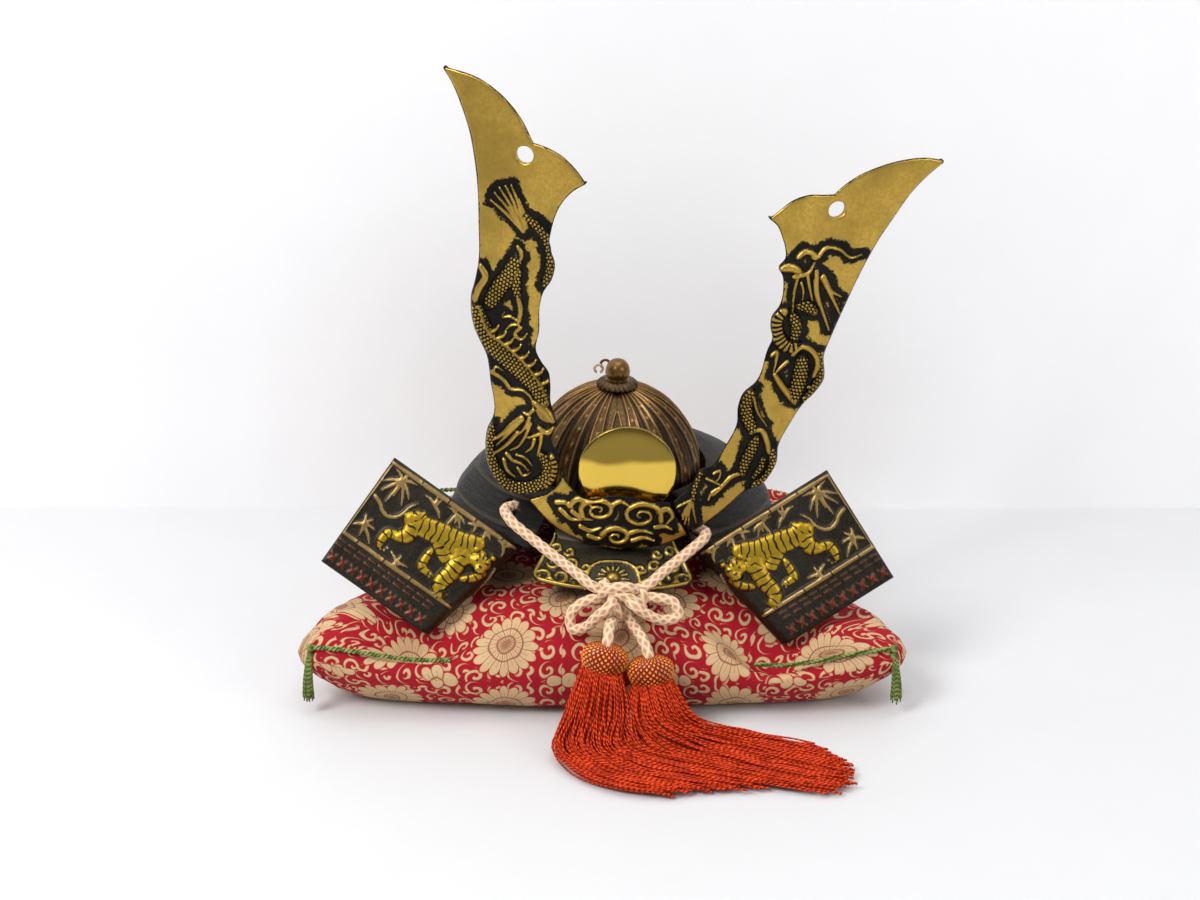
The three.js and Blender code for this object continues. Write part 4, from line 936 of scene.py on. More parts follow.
def measured_from(points, line):
    """Distance from a line, the run along it, the signed side and the line's length."""
    start, way = line[:-1], np.diff(line, axis=0)
    size = np.hypot(*way.T)
    best = np.full(len(points), 1e9)
    along = np.zeros(len(points))
    side = np.zeros(len(points))
    run = np.concatenate([[0], np.cumsum(size)])
    for k in range(len(start)):
        off = points - start[k]
        t = np.clip(off @ way[k] / size[k] ** 2, 0, 1)
        gap = off - t[:, None] * way[k]
        d = np.hypot(gap[:, 0], gap[:, 1])
        closer = d < best
        best[closer] = d[closer]
        along[closer] = (run[k] + t * size[k])[closer]
        side[closer] = (np.sign(way[k][0] * off[:, 1] - way[k][1] * off[:, 0]) * d)[closer]
    return best, along, side, run[-1]


def stroke_face(kind, rise, dome, along, side):
    """Height and tone across a stroke: the tone is the raised gold, brighter on the crown as a painted
    highlight and darker on the flanks as painted shade.
    """
    if kind == "scales":
        row = np.floor(along / SCALE_SIZE)
        a = along / SCALE_SIZE - row - 0.42
        b = side / SCALE_SIZE + 0.5 * (row % 2)
        b = b - np.floor(b) - 0.5
        bead = np.sqrt(np.clip(1 - 3.2 * (a * a + b * b), 0, 1))
        return rise * 0.85 * dome**0.7 + 0.3 * bead * dome, 0.25 + 0.75 * dome
    if kind == "belly":
        ridge = 0.5 + 0.5 * np.sin(2 * np.pi * along / BELLY_PITCH)
        return rise * 0.8 * dome**0.6 + 0.35 * ridge * dome, 0.25 + 0.75 * dome**0.7
    if kind == "dark":
        return rise * dome**0.5, 0 * dome
    if kind in ("tiger", "pelt"):
        return rise * dome**0.7, 0.35 + 0.65 * dome**0.6
    if kind == "bamboo":
        joint = np.abs((along / BAMBOO_PITCH) % 1 - 0.5) < 0.06
        cut = np.abs((along / BAMBOO_PITCH) % 1 - 0.5) < 0.015
        return rise * dome**0.6 + 0.35 * joint - 0.5 * cut, np.where(cut, 0, 0.3 + 0.5 * dome)
    if kind == "lace":
        return rise * dome, 0.7 + 0.3 * dome
    return rise * dome**0.7, 0.3 + 0.7 * dome**0.6


def give_relief(mesh, found):
    """The relief's marks for the finishes, and its run and side as the UV."""
    for name in ("tone", *STROKE_MARKS):
        give(mesh, name, found[name])
    give_uv(mesh, found["along"], found["side"])


# Crest
CREST_FORWARD = 46.0
CREST_FOOT = 61.2
CREST_LEAN = math.radians(10)
CREST_WALL = 2.6
CREST_SWEEP = 0.3
CREST_SWEEP_START = 25
CELL = 0.42
HOLE_RADIUS = 3.5
HOLES = {"left": (-61.3, 151.7), "right": (60.1, 151.1)}
LEFT_EDGE = [
    [(-40.4, 14), (-46.1, 13.7), (-51.2, 17.5), (-55.4, 23.4), (-57.4, 30.4), (-57.8, 38.2),
        (-56.3, 44.4), (-59.8, 58.6), (-63.5, 69.6), (-66.1, 73.2), (-69.9, 79.3), (-71.9, 85.5),
        (-72.7, 91.2), (-72.2, 96.8), (-72, 105.7), (-74.3, 120.7), (-77, 135.1), (-80.1, 146.3),
        (-83.2, 155.1), (-87.4, 163.5), (-92.3, 171.5), (-97.5, 177.6)],
    [(-97.5, 177.6), (-82.2, 176.2), (-72.2, 171.5), (-64.6, 165), (-58.7, 157.1)],
    [(-58.7, 157.1), (-54, 156.7), (-48, 155.1), (-41.6, 151.2), (-36.5, 146.5)],
    [(-36.5, 146.5), (-41.1, 142.1), (-44.7, 135.6), (-46.4, 126.2), (-46.1, 118.9), (-42.9, 112.4),
        (-43.1, 105.5), (-45.3, 100.1), (-45.8, 94.6), (-44.4, 84.4), (-44, 75.2), (-41.4, 71.7),
        (-38, 68.3), (-36.4, 63.2), (-35.2, 56.4), (-32.8, 51.2), (-31.4, 48.1), (-32, 44.4),
        (-32.1, 40), (-28.5, 35.7), (-27.2, 29.5), (-27.4, 24.3), (-31.7, 18.2), (-40.4, 14)],
]
RIGHT_EDGE = [
    [(28.6, 9.7), (36.2, 15.4), (42.6, 22.5), (49.7, 30.7), (54.1, 32.6), (57.1, 37.2), (58.8, 43.1),
        (58, 50.7), (60.8, 61), (64, 69.1), (68.1, 75), (70.2, 79.9), (68.2, 91.5), (69.4, 99.2),
        (71.9, 111.7), (74.5, 123.5), (79.4, 140.3), (84, 151.4), (88, 160.3), (94.7, 169.8),
        (98.9, 174.2)],
    [(98.9, 174.2), (91.4, 174.8), (82.2, 173.2), (72.6, 169.5), (65, 165), (60, 160.3), (57.5, 157.1)],
    [(57.5, 157.1), (53.7, 156.6), (47.8, 156), (41.7, 153.1), (37.5, 148.6), (34.3, 145.1)],
    [(34.3, 145.1), (38, 142.6), (41, 138), (43.1, 133.7), (43.9, 130.1), (42, 126), (44.3, 122.7),
        (45.7, 117.8), (45.7, 110.5), (43.5, 105.5), (44.1, 100.9), (45.7, 96.8), (44.8, 91.6),
        (43.1, 78.2), (38.7, 72.3), (38, 66.6), (39, 59.7), (36.4, 49.4), (32.8, 40.8), (27.6, 37.8),
        (25.9, 31.8), (19.7, 22.8)],
    [(19.7, 22.8), (28.6, 9.7)],
]
BASE_EDGE = [
    [(-36.8, 12.4), (-27, 4.8), (-16.1, 1), (-6.9, -0.4), (1.7, -0.6), (10.4, 1.1), (20.5, 4.3),
        (28.7, 9.2)],
    [(28.7, 9.2), (19.2, 23)],
    [(19.2, 23), (10.9, 22.8), (2.7, 23.5), (-6.8, 22.1), (-12, 19.6), (-16.5, 19.9), (-21.5, 23),
        (-25.5, 27.3)],
    [(-25.5, 27.3), (-26.1, 23.5), (-30, 17.7), (-36.8, 12.4)],
]
LEFT_ART = [
    ("strand", 1.7, 1, [(-56.8, 122.2), (-63.9, 127.2), (-71.3, 131.3)]),
    ("strand", 1.7, 1, [(-56.9, 122.6), (-63, 128.7), (-70.2, 134.5)]),
    ("strand", 1.7, 1, [(-57, 123), (-62.4, 130), (-68.6, 136.9)]),
    ("strand", 1.7, 1, [(-56.7, 123.4), (-61.4, 131.1), (-66.5, 138.3)]),
    ("strand", 1.7, 1, [(-56.4, 123.9), (-59.9, 131.5), (-64.3, 138.9)]),
    ("strand", 1.7, 1, [(-56, 124), (-58.1, 129.6), (-60.8, 134.5)]),
    ("smooth", 2.1, 1.2, [(-57.2, 122.1), (-58.5, 125), (-60.1, 127.4)]),
    ("scales", 3.8, 1.5, [(-57.5, 128.5), (-52.4, 125.8), (-47.7, 121.4), (-45, 114.7),
        (-44.5, 109.1), (-45.5, 103.4)]),
    ("scales", 6.7, 1.7, [(-57.7, 110.8), (-59.1, 104.6), (-62.7, 97), (-65.4, 89.1)]),
    ("scales", 3.8, 1.4, [(-56.3, 106.7), (-56.3, 100.8), (-54.9, 95.8)]),
    ("smooth", 2.1, 1.4, [(-55, 96.2), (-52.9, 90.9), (-52.8, 85.4)]),
    ("smooth", 1.7, 1.2, [(-58.1, 115.7), (-56.2, 113.3), (-56.4, 109.6)]),
    ("strand", 1.2, 1.1, [(-52.9, 85.8), (-56.3, 87), (-59.3, 86.1), (-58.9, 88.4)]),
    ("strand", 1.2, 1.1, [(-52.7, 84.6), (-55.7, 83.4), (-57.6, 80.3)]),
    ("strand", 1.7, 1.1, [(-51.7, 83.6), (-53.4, 80.2), (-50.9, 78.8), (-48.7, 82)]),
    ("smooth", 2.9, 1.3, [(-71, 104.3), (-68.4, 100.8), (-70.2, 94.5), (-71, 89.2)]),
    ("scales", 8.3, 1.8, [(-70.8, 87.6), (-67.4, 81.3), (-62.3, 74.7), (-55.1, 69.9), (-47.6, 65.6),
        (-41.7, 61.3), (-37.9, 55.8)]),
    ("strand", 1.2, 2.1, [(-69.2, 88), (-63.8, 78.9), (-55.9, 74.8), (-47, 69.2), (-40.5, 62.9),
        (-36.4, 56.3)]),
    ("strand", 1.7, 1.3, [(-60, 62.5), (-54.8, 60.5), (-51.5, 57.6), (-46.4, 58.2), (-42.8, 55.8),
        (-41.4, 52.2)]),
    ("strand", 1.2, 1.2, [(-59.5, 62.2), (-58.4, 65.1), (-55.4, 64.2)]),
    ("smooth", 3.8, 1.9, [(-41, 54.5), (-36.9, 52.2), (-33.2, 48.9)]),
    ("smooth", 2.1, 2.1, [(-39.7, 51.8), (-37.7, 49.4), (-34.7, 48.5)]),
    ("smooth", 2.5, 1.7, [(-38.1, 44.5), (-34.3, 43.4), (-31.9, 46.2)]),
    ("strand", 2.5, 1.6, [(-45.3, 46.7), (-48, 43.3), (-52.6, 36.7), (-57.3, 32.6)]),
    ("strand", 2.1, 1.6, [(-45.8, 40), (-49.3, 33.7), (-53.8, 28.4)]),
    ("strand", 1.7, 1.5, [(-44.8, 46), (-49.3, 38.6), (-53.2, 32.5)]),
    ("strand", 1.7, 1.5, [(-41.4, 45.2), (-42.8, 38.7), (-44.9, 34.1), (-47.4, 32)]),
    ("strand", 1.7, 1.5, [(-36.9, 42.2), (-39.4, 40.5), (-41.6, 39)]),
    ("strand", 1.7, 1.5, [(-36.5, 42.3), (-36.2, 38), (-36.5, 32.6)]),
    ("strand", 1.7, 1.5, [(-42.2, 47.6), (-43.2, 43.4), (-45, 39.8)]),
    ("strand", 1.7, 1.4, [(-41.2, 51.4), (-43.2, 48.7), (-45.3, 49.4)]),
    ("strand", 1.7, 1.5, [(-38.8, 39), (-39.4, 35.3), (-41.4, 32.9)]),
    ("scales", 5.8, 1.9, [(-56.5, 40.8), (-56.7, 34.1), (-55.3, 27.5), (-51.8, 21.4), (-46.2, 17.2),
        (-39.7, 17.4), (-33.8, 20.9), (-31.4, 26.1), (-32.5, 30.6), (-35, 33.4)]),
    ("belly", 3.3, 2.1, [(-31.1, 34.1), (-29.1, 29.8), (-29.2, 25.3), (-30.9, 20.8)]),
    ("strand", 1.7, 1.2, [(-48.7, 29.9), (-45.5, 27.7), (-42.2, 27.4), (-38.9, 25.2)]),
    ("strand", 1.7, 1.2, [(-49.4, 27), (-47.1, 22.8), (-43.6, 21.1)]),
    ("strand", 1.2, 1.1, [(-44.7, 30.6), (-41.4, 30.3), (-37.7, 27.8)]),
    ("strand", 1.2, 1.1, [(-43.4, 25.2), (-40.5, 22.5), (-37.7, 25.1)]),
    ("strand", 1.7, 1.5, [(-63, 78.8), (-61.2, 80.1), (-60, 82.6)]),
    ("strand", 1.7, 1.5, [(-59.7, 77.1), (-57.9, 78.4), (-56.7, 80.9)]),
    ("strand", 1.7, 1.5, [(-56.4, 75.3), (-54.7, 76.6), (-53.5, 79.1)]),
    ("strand", 1.7, 1.5, [(-53.1, 73.3), (-51.4, 74.7), (-50.2, 77.1)]),
    ("strand", 1.7, 1.5, [(-49.8, 71.1), (-48, 72.4), (-46.8, 74.9)]),
    ("strand", 1.7, 1.5, [(-46.4, 68.6), (-44.7, 70), (-43.5, 72.5)]),
    ("strand", 1.7, 1.5, [(-43, 66), (-41.2, 67.3), (-40.1, 69.8)]),
    ("strand", 1.7, 1.5, [(-39.6, 63.2), (-37.8, 64.6), (-36.6, 67)]),
]
RIGHT_ART = [
    ("strand", 1.7, 1.5, [(56.7, 131.9), (59.1, 135.8), (64, 135.6), (70, 132.6), (73.7, 134.1)]),
    ("smooth", 3.8, 1.9, [(43.6, 125.9), (46.6, 126.6), (50.5, 125.6)]),
    ("smooth", 2.5, 1.9, [(48.5, 130.9), (51.1, 133.5), (56.7, 131.9)]),
    ("smooth", 2.5, 2.2, [(54.4, 131.7), (56, 131.5)]),
    ("strand", 2.1, 1.7, [(49, 123), (54.2, 125.1), (55.7, 129.4)]),
    ("strand", 1.7, 1.5, [(54.1, 123.9), (56, 119), (58.3, 113.7)]),
    ("strand", 1.2, 1.4, [(52.3, 120.8), (53.9, 117.2), (54.2, 113.9)]),
    ("strand", 2.1, 1.6, [(57.3, 125.8), (59.8, 116.4), (63.4, 109.5), (67.5, 102.1)]),
    ("strand", 2.1, 1.6, [(60.2, 123.5), (66.2, 115.1), (71, 108.3)]),
    ("strand", 1.7, 1.5, [(60.5, 124.3), (65.5, 118), (69.6, 116.2)]),
    ("strand", 1.2, 1.3, [(50.5, 123.6), (50.3, 116.9), (51.3, 108.6)]),
    ("strand", 1.2, 1.4, [(57.2, 122.4), (59.1, 115.9), (61.2, 111.8)]),
    ("scales", 5, 1.5, [(52.8, 111.2), (56.5, 111.1), (60.1, 109.2)]),
    ("belly", 5.4, 1.9, [(48.1, 108.4), (46, 105.3), (46.5, 100.7), (49.1, 96.2), (53.4, 93.5),
        (56.8, 94.6)]),
    ("scales", 4.6, 1.7, [(51.5, 107.8), (54.4, 102.1), (54.3, 97)]),
    ("smooth", 2.5, 1.7, [(55.2, 90.6), (58.1, 94.2), (63, 92.4), (66.2, 87.5), (65.7, 82.2)]),
    ("scales", 3.3, 1.4, [(66.3, 92.6), (68.6, 84.1), (66.8, 77.1), (64.1, 70.8)]),
    ("scales", 6.7, 1.9, [(59.5, 89.6), (60.2, 82.8), (60.1, 75.8), (59.8, 71.5)]),
    ("strand", 1.5, 1.3, [(46.9, 89.6), (48.5, 91.4), (49.2, 86.4), (49.1, 82.9)]),
    ("strand", 1.7, 1.3, [(53.8, 87.5), (51.2, 84.4), (49.4, 81.6)]),
    ("smooth", 2.9, 1.6, [(49.8, 81.7), (55.2, 75.5), (60.5, 70.2)]),
    ("scales", 5.4, 1.8, [(41.9, 74.2), (41.2, 67.7), (43.3, 61.7), (46.3, 57.1)]),
    ("strand", 1.2, 1.9, [(43.3, 71.7), (46.2, 65.4), (51.2, 59.6)]),
    ("smooth", 2.5, 1.6, [(45.3, 56.1), (48.7, 57.7), (52.5, 53), (54.5, 47.8)]),
    ("scales", 5, 1.8, [(48.1, 54.5), (47.4, 49.6), (45.9, 43.3), (45.6, 38.4)]),
    ("scales", 3.3, 1.5, [(55.3, 49.6), (57.1, 43), (55.5, 37.1), (50.9, 32.9)]),
    ("scales", 2.9, 1.3, [(52.9, 45.5), (52.6, 41), (50.5, 36.9)]),
    ("smooth", 2.1, 1.5, [(45.6, 38.4), (41.5, 36.4), (38.3, 31.7), (35.7, 28)]),
    ("strand", 1.2, 1.3, [(33.9, 37.3), (36.1, 38.8), (36.4, 35.2), (35.1, 33.3)]),
    ("strand", 1.2, 1.3, [(31.5, 34.9), (35.5, 33.4), (39.1, 31.8)]),
    ("strand", 1.2, 1.3, [(34.1, 25.7), (34.7, 28.8), (37.5, 31.7)]),
    ("scales", 2.5, 1.4, [(28.9, 37.8), (27.6, 31.5), (27.8, 24.4)]),
    ("strand", 1.2, 1.2, [(27.6, 25.2), (25.6, 17.9), (24.3, 10.5)]),
    ("strand", 1.2, 1.2, [(27.6, 25.2), (26.7, 18.4), (26.6, 11.6)]),
    ("strand", 1.2, 1.2, [(27.6, 25.2), (27.5, 19.4), (28.3, 13.5)]),
    ("strand", 1.2, 1.2, [(27.6, 25.2), (29.1, 19.9), (31.3, 14.6)]),
    ("strand", 1.2, 1.2, [(27.6, 25.2), (25.7, 21.3), (24.6, 17.4)]),
    ("strand", 1.2, 1.2, [(27.6, 25.2), (23.6, 22.7), (20.4, 20.2)]),
    ("strand", 1.2, 1.3, [(67.1, 91), (68.6, 91.5)]),
    ("strand", 1.2, 1.3, [(66.2, 86.4), (67.8, 86.9)]),
    ("strand", 1.2, 1.3, [(65.4, 81.8), (66.9, 82.3)]),
    ("strand", 1.2, 1.3, [(64.5, 77.2), (66.1, 77.7)]),
    ("strand", 1.2, 1.3, [(63.7, 72.6), (65.2, 73.1)]),
]
BASE_ART = [
    ("strand", 1.7, 1.1, [(-14.7, 6.8), (-10.4, 6), (-6.4, 8.3)]),
    ("strand", 1.7, 1.1, [(-10.9, 3.7), (-6.7, 3.2), (-3.9, 5.6)]),
    ("strand", 1.7, 1.1, [(6.9, 4.7), (11.1, 6.6), (15.7, 5.7)]),
    ("strand", 1.7, 1.1, [(4.8, 7.6), (9.3, 9.6), (14.4, 8.8)]),
    ("strand", 1.7, 1.1, [(-23.7, 12.1), (-19.2, 9.3), (-14, 10.1)]),
    ("strand", 1.7, 1.1, [(-25.8, 14.7), (-22.3, 15.6), (-18.7, 13.9)]),
    ("strand", 2.1, 1.2, [(-20.5, 14.8), (-17.8, 18.2), (-14.2, 18.2), (-11.4, 16.2)]),
    ("strand", 1.7, 1.2, [(-3.8, 18.7), (-0.9, 21.1), (2.5, 19.9)]),
    ("strand", 2.1, 1.2, [(14.9, 18.8), (18.8, 20), (21, 17.1), (19.2, 13.8)]),
    ("strand", 1.7, 1.1, [(15.1, 11.6), (18.6, 12.4), (22.1, 11.3)]),
    ("strand", 1.7, 1.1, [(-18.9, 12.5), (-15.3, 10.7), (-10.5, 11)]),
    ("strand", 1.9, 1.5, [(-14.7, 11.5), (-15.7, 15.2), (-12.8, 18.7), (-8.2, 20), (-4.6, 18.6),
        (-3.9, 15.8), (-6.1, 13.4), (-9.4, 12.6), (-11.7, 13.6), (-12, 15.5), (-10.5, 16.9),
        (-8.6, 17.2), (-7.6, 16.6), (-7.7, 15.7), (-8.4, 15.3)]),
    ("strand", 1.9, 1.5, [(16.7, 14.8), (15.4, 19.2), (10.5, 21.4), (5.1, 20.3), (2.4, 17.1),
        (3.5, 14), (7.1, 12.6), (10.8, 13.4), (12.5, 15.6), (11.6, 17.6), (9.3, 18.4), (7.2, 17.7),
        (6.6, 16.5), (7.3, 15.7), (8.2, 15.6)]),
    ("strand", 1.9, 1.5, [(-5.7, 5.5), (-3.1, 8.4), (0.9, 9.2), (3.9, 7.8), (4.4, 5.4), (2.5, 3.5),
        (-0.2, 3.1), (-2, 4.1), (-2.1, 5.5), (-0.9, 6.5), (0.4, 6.6), (1.1, 6), (0.8, 5.5)]),
]


def crest_sweep(across):
    return CREST_SWEEP * (np.hypot(across, CREST_SWEEP_START) - CREST_SWEEP_START)


def on_crest(across, up, height):
    x = across * math.cos(CREST_LEAN) + up * math.sin(CREST_LEAN)
    z = CREST_FOOT - across * math.sin(CREST_LEAN) + up * math.cos(CREST_LEAN)
    return np.stack([x, crest_sweep(across) - height - CREST_FORWARD, z], -1)


def inside_of(points, outline):
    """Even-odd test of points against a closed outline."""
    x, y = points.T
    found = np.zeros(len(points), bool)
    for (ax, ay), (bx, by) in zip(outline, np.roll(outline, -1, axis=0)):
        crosses = (ay > y) != (by > y)
        if ay != by:
            found ^= crosses & (x < (bx - ax) * (y - ay) / (by - ay) + ax)
    return found


def trimmed_plate(edges, hole=None):
    """A fine grid cut to an outline, its border moved onto it; returns the mesh and the plate's corners."""
    outline = np.concatenate([curve_through(run, 0.8)[:-1] for run in edges])
    low = outline.min(0) - CELL
    count = np.ceil((outline.max(0) + CELL - low) / CELL).astype(int)
    mesh, u, v = grid(int(count[0]), int(count[1]))
    at = low + np.stack([u, v], 1) * count * CELL
    keep = inside_of(at, outline)
    if hole:
        keep &= np.hypot(*(at - hole).T) > HOLE_RADIUS
    mesh.vertices.foreach_set("co", np.column_stack([at, np.zeros(len(at))]).ravel())
    trim(mesh, keep)
    bm = bmesh.new()
    bm.from_mesh(mesh)
    border = [w for w in bm.verts if w.is_boundary]
    spots = np.array([w.co[:2] for w in border])
    moved = nearest_on(spots, np.concatenate([outline, outline[:1]]))
    if hole:
        gap = spots - hole
        far = np.hypot(*gap.T)
        round_it = far < HOLE_RADIUS + 2 * CELL
        moved[round_it] = hole + (gap / far[:, None] * HOLE_RADIUS)[round_it]
    for vert, place in zip(border, moved):
        vert.co = (place[0], place[1], 0)
    bm.to_mesh(mesh)
    bm.free()
    return mesh, corners_of(mesh)[:, :2], outline


def nearest_on(points, line):
    best = np.full(len(points), 1e9)
    spot = points.copy()
    for a, b in zip(line[:-1], line[1:]):
        way = b - a
        t = np.clip((points - a) @ way / max(way @ way, 1e-12), 0, 1)
        at = a + t[:, None] * way
        d = np.hypot(*(points - at).T)
        closer = d < best
        best[closer] = d[closer]
        spot[closer] = at[closer]
    return spot


def crest_piece(name, edges, strokes, node, hole=None):
    mesh, at, outline = trimmed_plate(edges, hole)
    found = relief(at, strokes)
    closed = np.concatenate([outline, outline[:1]])
    edge = np.hypot(*(at - nearest_on(at, closed)).T)
    rounded = 0.5 * np.clip(1 - edge / 0.9, 0, 1) ** 2
    fade = np.clip(edge / 0.8, 0, 1)
    move_corners(mesh, on_crest(at[:, 0], at[:, 1], found["height"] * fade - rounded))
    found["tone"] *= edge > 0.15
    give_relief(mesh, found)
    give(mesh, "bare", np.clip((found["near"] - 0.6) / 4.2, 0, 1) * (edge > 0.15))
    join_seams(mesh, (0, 0, 120))
    return add_piece(name, mesh, crest_finish, node, CREST_WALL, crest_back)


DISC_PROFILE = [(0, 0.0), (18.6, 0.35), (19.4, 0.7), (19.6, 1.3), (19.4, 2.3), (19.0, 2.6), (0, 2.6)]
DISC_UP = 31.5
DISC_BACK = 4.93


def make_disc():
    mesh, u, v = grid(128, 24)
    profile = np.array(DISC_PROFILE)
    at = v * (len(profile) - 1)
    radius = np.interp(at, range(len(profile)), profile[:, 0])
    deep = np.interp(at, range(len(profile)), profile[:, 1])
    angle = 2 * np.pi * u
    across, up = radius * np.cos(angle), DISC_UP + radius * np.sin(angle)
    points = on_crest(across, up, 0)
    points[:, 1] = DISC_BACK + deep - CREST_FORWARD
    move_corners(mesh, points)
    join_seams(mesh)
    add_piece("polished_disc", mesh, disc_finish, "crest_disc")


crest_piece("horn_left", LEFT_EDGE, LEFT_ART, "crest_horn_left", HOLES["left"])
crest_piece("horn_right", RIGHT_EDGE, RIGHT_ART, "crest_horn_right", HOLES["right"])
bold = [(kind, width * 1.35, rise * 1.1, path) for kind, width, rise, path in BASE_ART]
crest_piece("cloud_base", BASE_EDGE, bold, "crest_base")
make_disc()


# Turned-back plates
PLATE_LENGTH = 62.5
PLATE_HEIGHT = 51.0
PLATE_TAPER = 10.0
PLATE_CURL = 6.0
PLATE_WALL = 2.6
PLATE_RISE = math.radians(33.6)
PLATE_LEAN = math.radians(24.6)
PLATE_OUT = 35.0
PLATE_SHIFT = -2.0
PLATE_FORWARD = 46.5
PLATE_UP = 60.8
TIGER_ART = [
    ("strand", 1.8, 1.3, [
        (59.8, -17), (57.1, -17.9), (53.7, -20.3), (50.1, -20.5), (47.2, -17.8), (45.9, -12.8), (44, -9.7),
    ]),
    ("tiger", 9.6, 2, [
        (42.8, -16.1), (38, -16.1), (32.5, -15.1), (27.1, -14), (21.2, -12.6), (14.9, -8.8),
    ]),
    ("tiger", 7, 2, [(41.2, -13.6), (40.4, -18.6), (40.3, -22.6), (42.7, -25)]),
    ("tiger", 4, 1.6, [(40.9, -23.7), (44, -25.2), (46.8, -26.1), (47.7, -29.2), (47, -32.2)]),
    ("tiger", 6, 1.6, [(30.8, -16.6), (25.9, -18.6), (21.8, -22)]),
    ("tiger", 3.6, 1.3, [(28.9, -22.2), (28.8, -26.2), (28.2, -29.6), (24.2, -29.8)]),
    ("tiger", 7, 2.1, [(17.1, -14.5), (17, -18.6), (17.3, -25), (18, -31.7), (15.7, -33.5)]),
    ("tiger", 12.5, 1.9, [(41.6, -16.4), (38.4, -16.8)]),
    ("tiger", 11.5, 2, [(19.4, -15.4), (16.6, -16.8)]),
    ("pelt", 9.6, 2.4, [(11.8, -14.6), (8.6, -14)]),
    ("pelt", 4.6, 2.9, [(9.8, -17.2), (8, -16.8)]),
    ("pelt", 2.8, 2.6, [(14.4, -11), (13.9, -11.3)]),
    ("pelt", 2.8, 2.6, [(6.6, -9.9), (6.9, -10.4)]),
    ("dark", 1.3, 2.85, [(12, -14.6), (11.2, -14.4)]),
    ("dark", 1.3, 2.85, [(8.1, -13.6), (7.3, -13.4)]),
    ("dark", 1.2, 3.3, [(9.4, -16), (8.6, -15.8)]),
    ("dark", 0.7, 3.2, [(10.9, -18.1), (9, -18.6), (7.1, -17.5)]),
    ("dark", 0.7, 2.8, [(10.2, -10.8), (9.9, -12.9)]),
    ("dark", 0.7, 2.8, [(12, -11.4), (11.5, -12.7)]),
    ("dark", 0.7, 2.8, [(8.4, -10.8), (8.4, -12.1)]),
    ("tiger", 3.4, 1.6, [(12.3, -24.2), (8.8, -21.4), (6.2, -17.2)]),
    ("strand", 1.6, 1.2, [(3.2, -13.7), (2.4, -20.7), (3.1, -27.4)]),
]
# Bamboo leaves: the root of each fan, then the middle and the tip of each leaf
LEAF_FANS = [
    ((54.4, -5.6), [
        ((57.8, -7.6), (61.3, -10.5)), ((56.7, -9.3), (59.2, -13.9)), ((54.7, -10.7), (55.2, -16.6)),
        ((54.1, -8.8), (54, -13)), ((51.6, -9.5), (49, -14.3)), ((51, -7.7), (47.8, -10.6)),
        ((51.5, -4.2), (48.8, -3.8)), ((54, -3.2), (53.7, -1.7)), ((56.9, -3.9), (59.6, -3.1)),
    ]),
    ((57.2, -29), [
        ((57.8, -26.6), (58.5, -25.1)), ((56, -26.7), (54.9, -25.3)), ((56.4, -31), (55.8, -33.9)),
        ((53.9, -31.1), (50.8, -34.1)), ((54.6, -28.1), (52.2, -28.2)), ((58.9, -29.8), (60.8, -31.6)),
    ]),
    ((37.5, -34.4), [
        ((39.4, -32.6), (41.5, -31.7)), ((37.4, -32), (37.4, -30.6)), ((35, -33.2), (32.6, -33)),
        ((38.1, -35.3), (39, -37.2)),
    ]),
    ((37.9, -6.5), [
        ((40.4, -5.3), (43, -5.2)), ((38.7, -3.8), (39.6, -2.1)), ((37.4, -4.3), (36.9, -3)),
        ((35.7, -7.6), (33.6, -9.6)),
    ]),
    ((28.9, -4.2), [
        ((31.1, -3.6), (33.5, -4)), ((29.2, -6.8), (29.7, -10.3)), ((28.1, -5.3), (27.6, -7.4)),
        ((26.7, -5.7), (24.7, -8.1)), ((26.4, -4.4), (24, -5.6)),
    ]),
    ((20, -3.5), [
        ((21.3, -3.6), (22.7, -4.6)), ((19.6, -4.5), (19.3, -6.4)), ((18.6, -2.4), (17.4, -2.3)),
    ]),
    ((15.2, -3.5), [
        ((14.8, -4.9), (14.6, -7.2)), ((13.6, -3.7), (12.2, -4.8)), ((14, -2.2), (12.9, -1.9)),
    ]),
    ((5.9, -3.9), [((7.4, -3.1), (9.1, -3.3)), ((4.8, -3), (3.8, -3)), ((5, -5.6), (4.3, -8.2))]),
]
LEAF = {"width": 1.5, "rise": 1}
# Claws: the two ends of each
CLAWS = [
    ((46, -33.2), (45.6, -33.2)), ((44.5, -32.8), (44.1, -32.8)), ((43.8, -31.3), (43.5, -31.3)),
    ((22.7, -29.9), (22.4, -29.9)), ((23.6, -31.1), (23.2, -31.2)), ((25.2, -31.3), (24.9, -31.3)),
    ((14.2, -34.2), (13.8, -34.2)), ((15.3, -34.6), (14.9, -34.6)), ((13.8, -32.8), (13.4, -32.9)),
]
CLAW = {"width": 1.1, "rise": 1.2}
# Bamboo rails: start and height
RAILS = [(1.5, -1.9), (9.5, -36.2)]
# Laced border: two short dashes over a cross, and the two ends of each stitch
LACES = 10
LACE_START = 15.5
LACE_PITCH = 4.8
LACE_WIDTH = 0.8
LACE_STITCHES = [
    ((0, -39.2), (2.9, -39.2)), ((0.6, -41.6), (3.5, -41.6)),
    ((-0.6, -45), (2.4, -48.8)), ((2.6, -45), (-0.4, -48.8)),
]
PLATE_COLUMNS = 144
PLATE_ROWS = 108


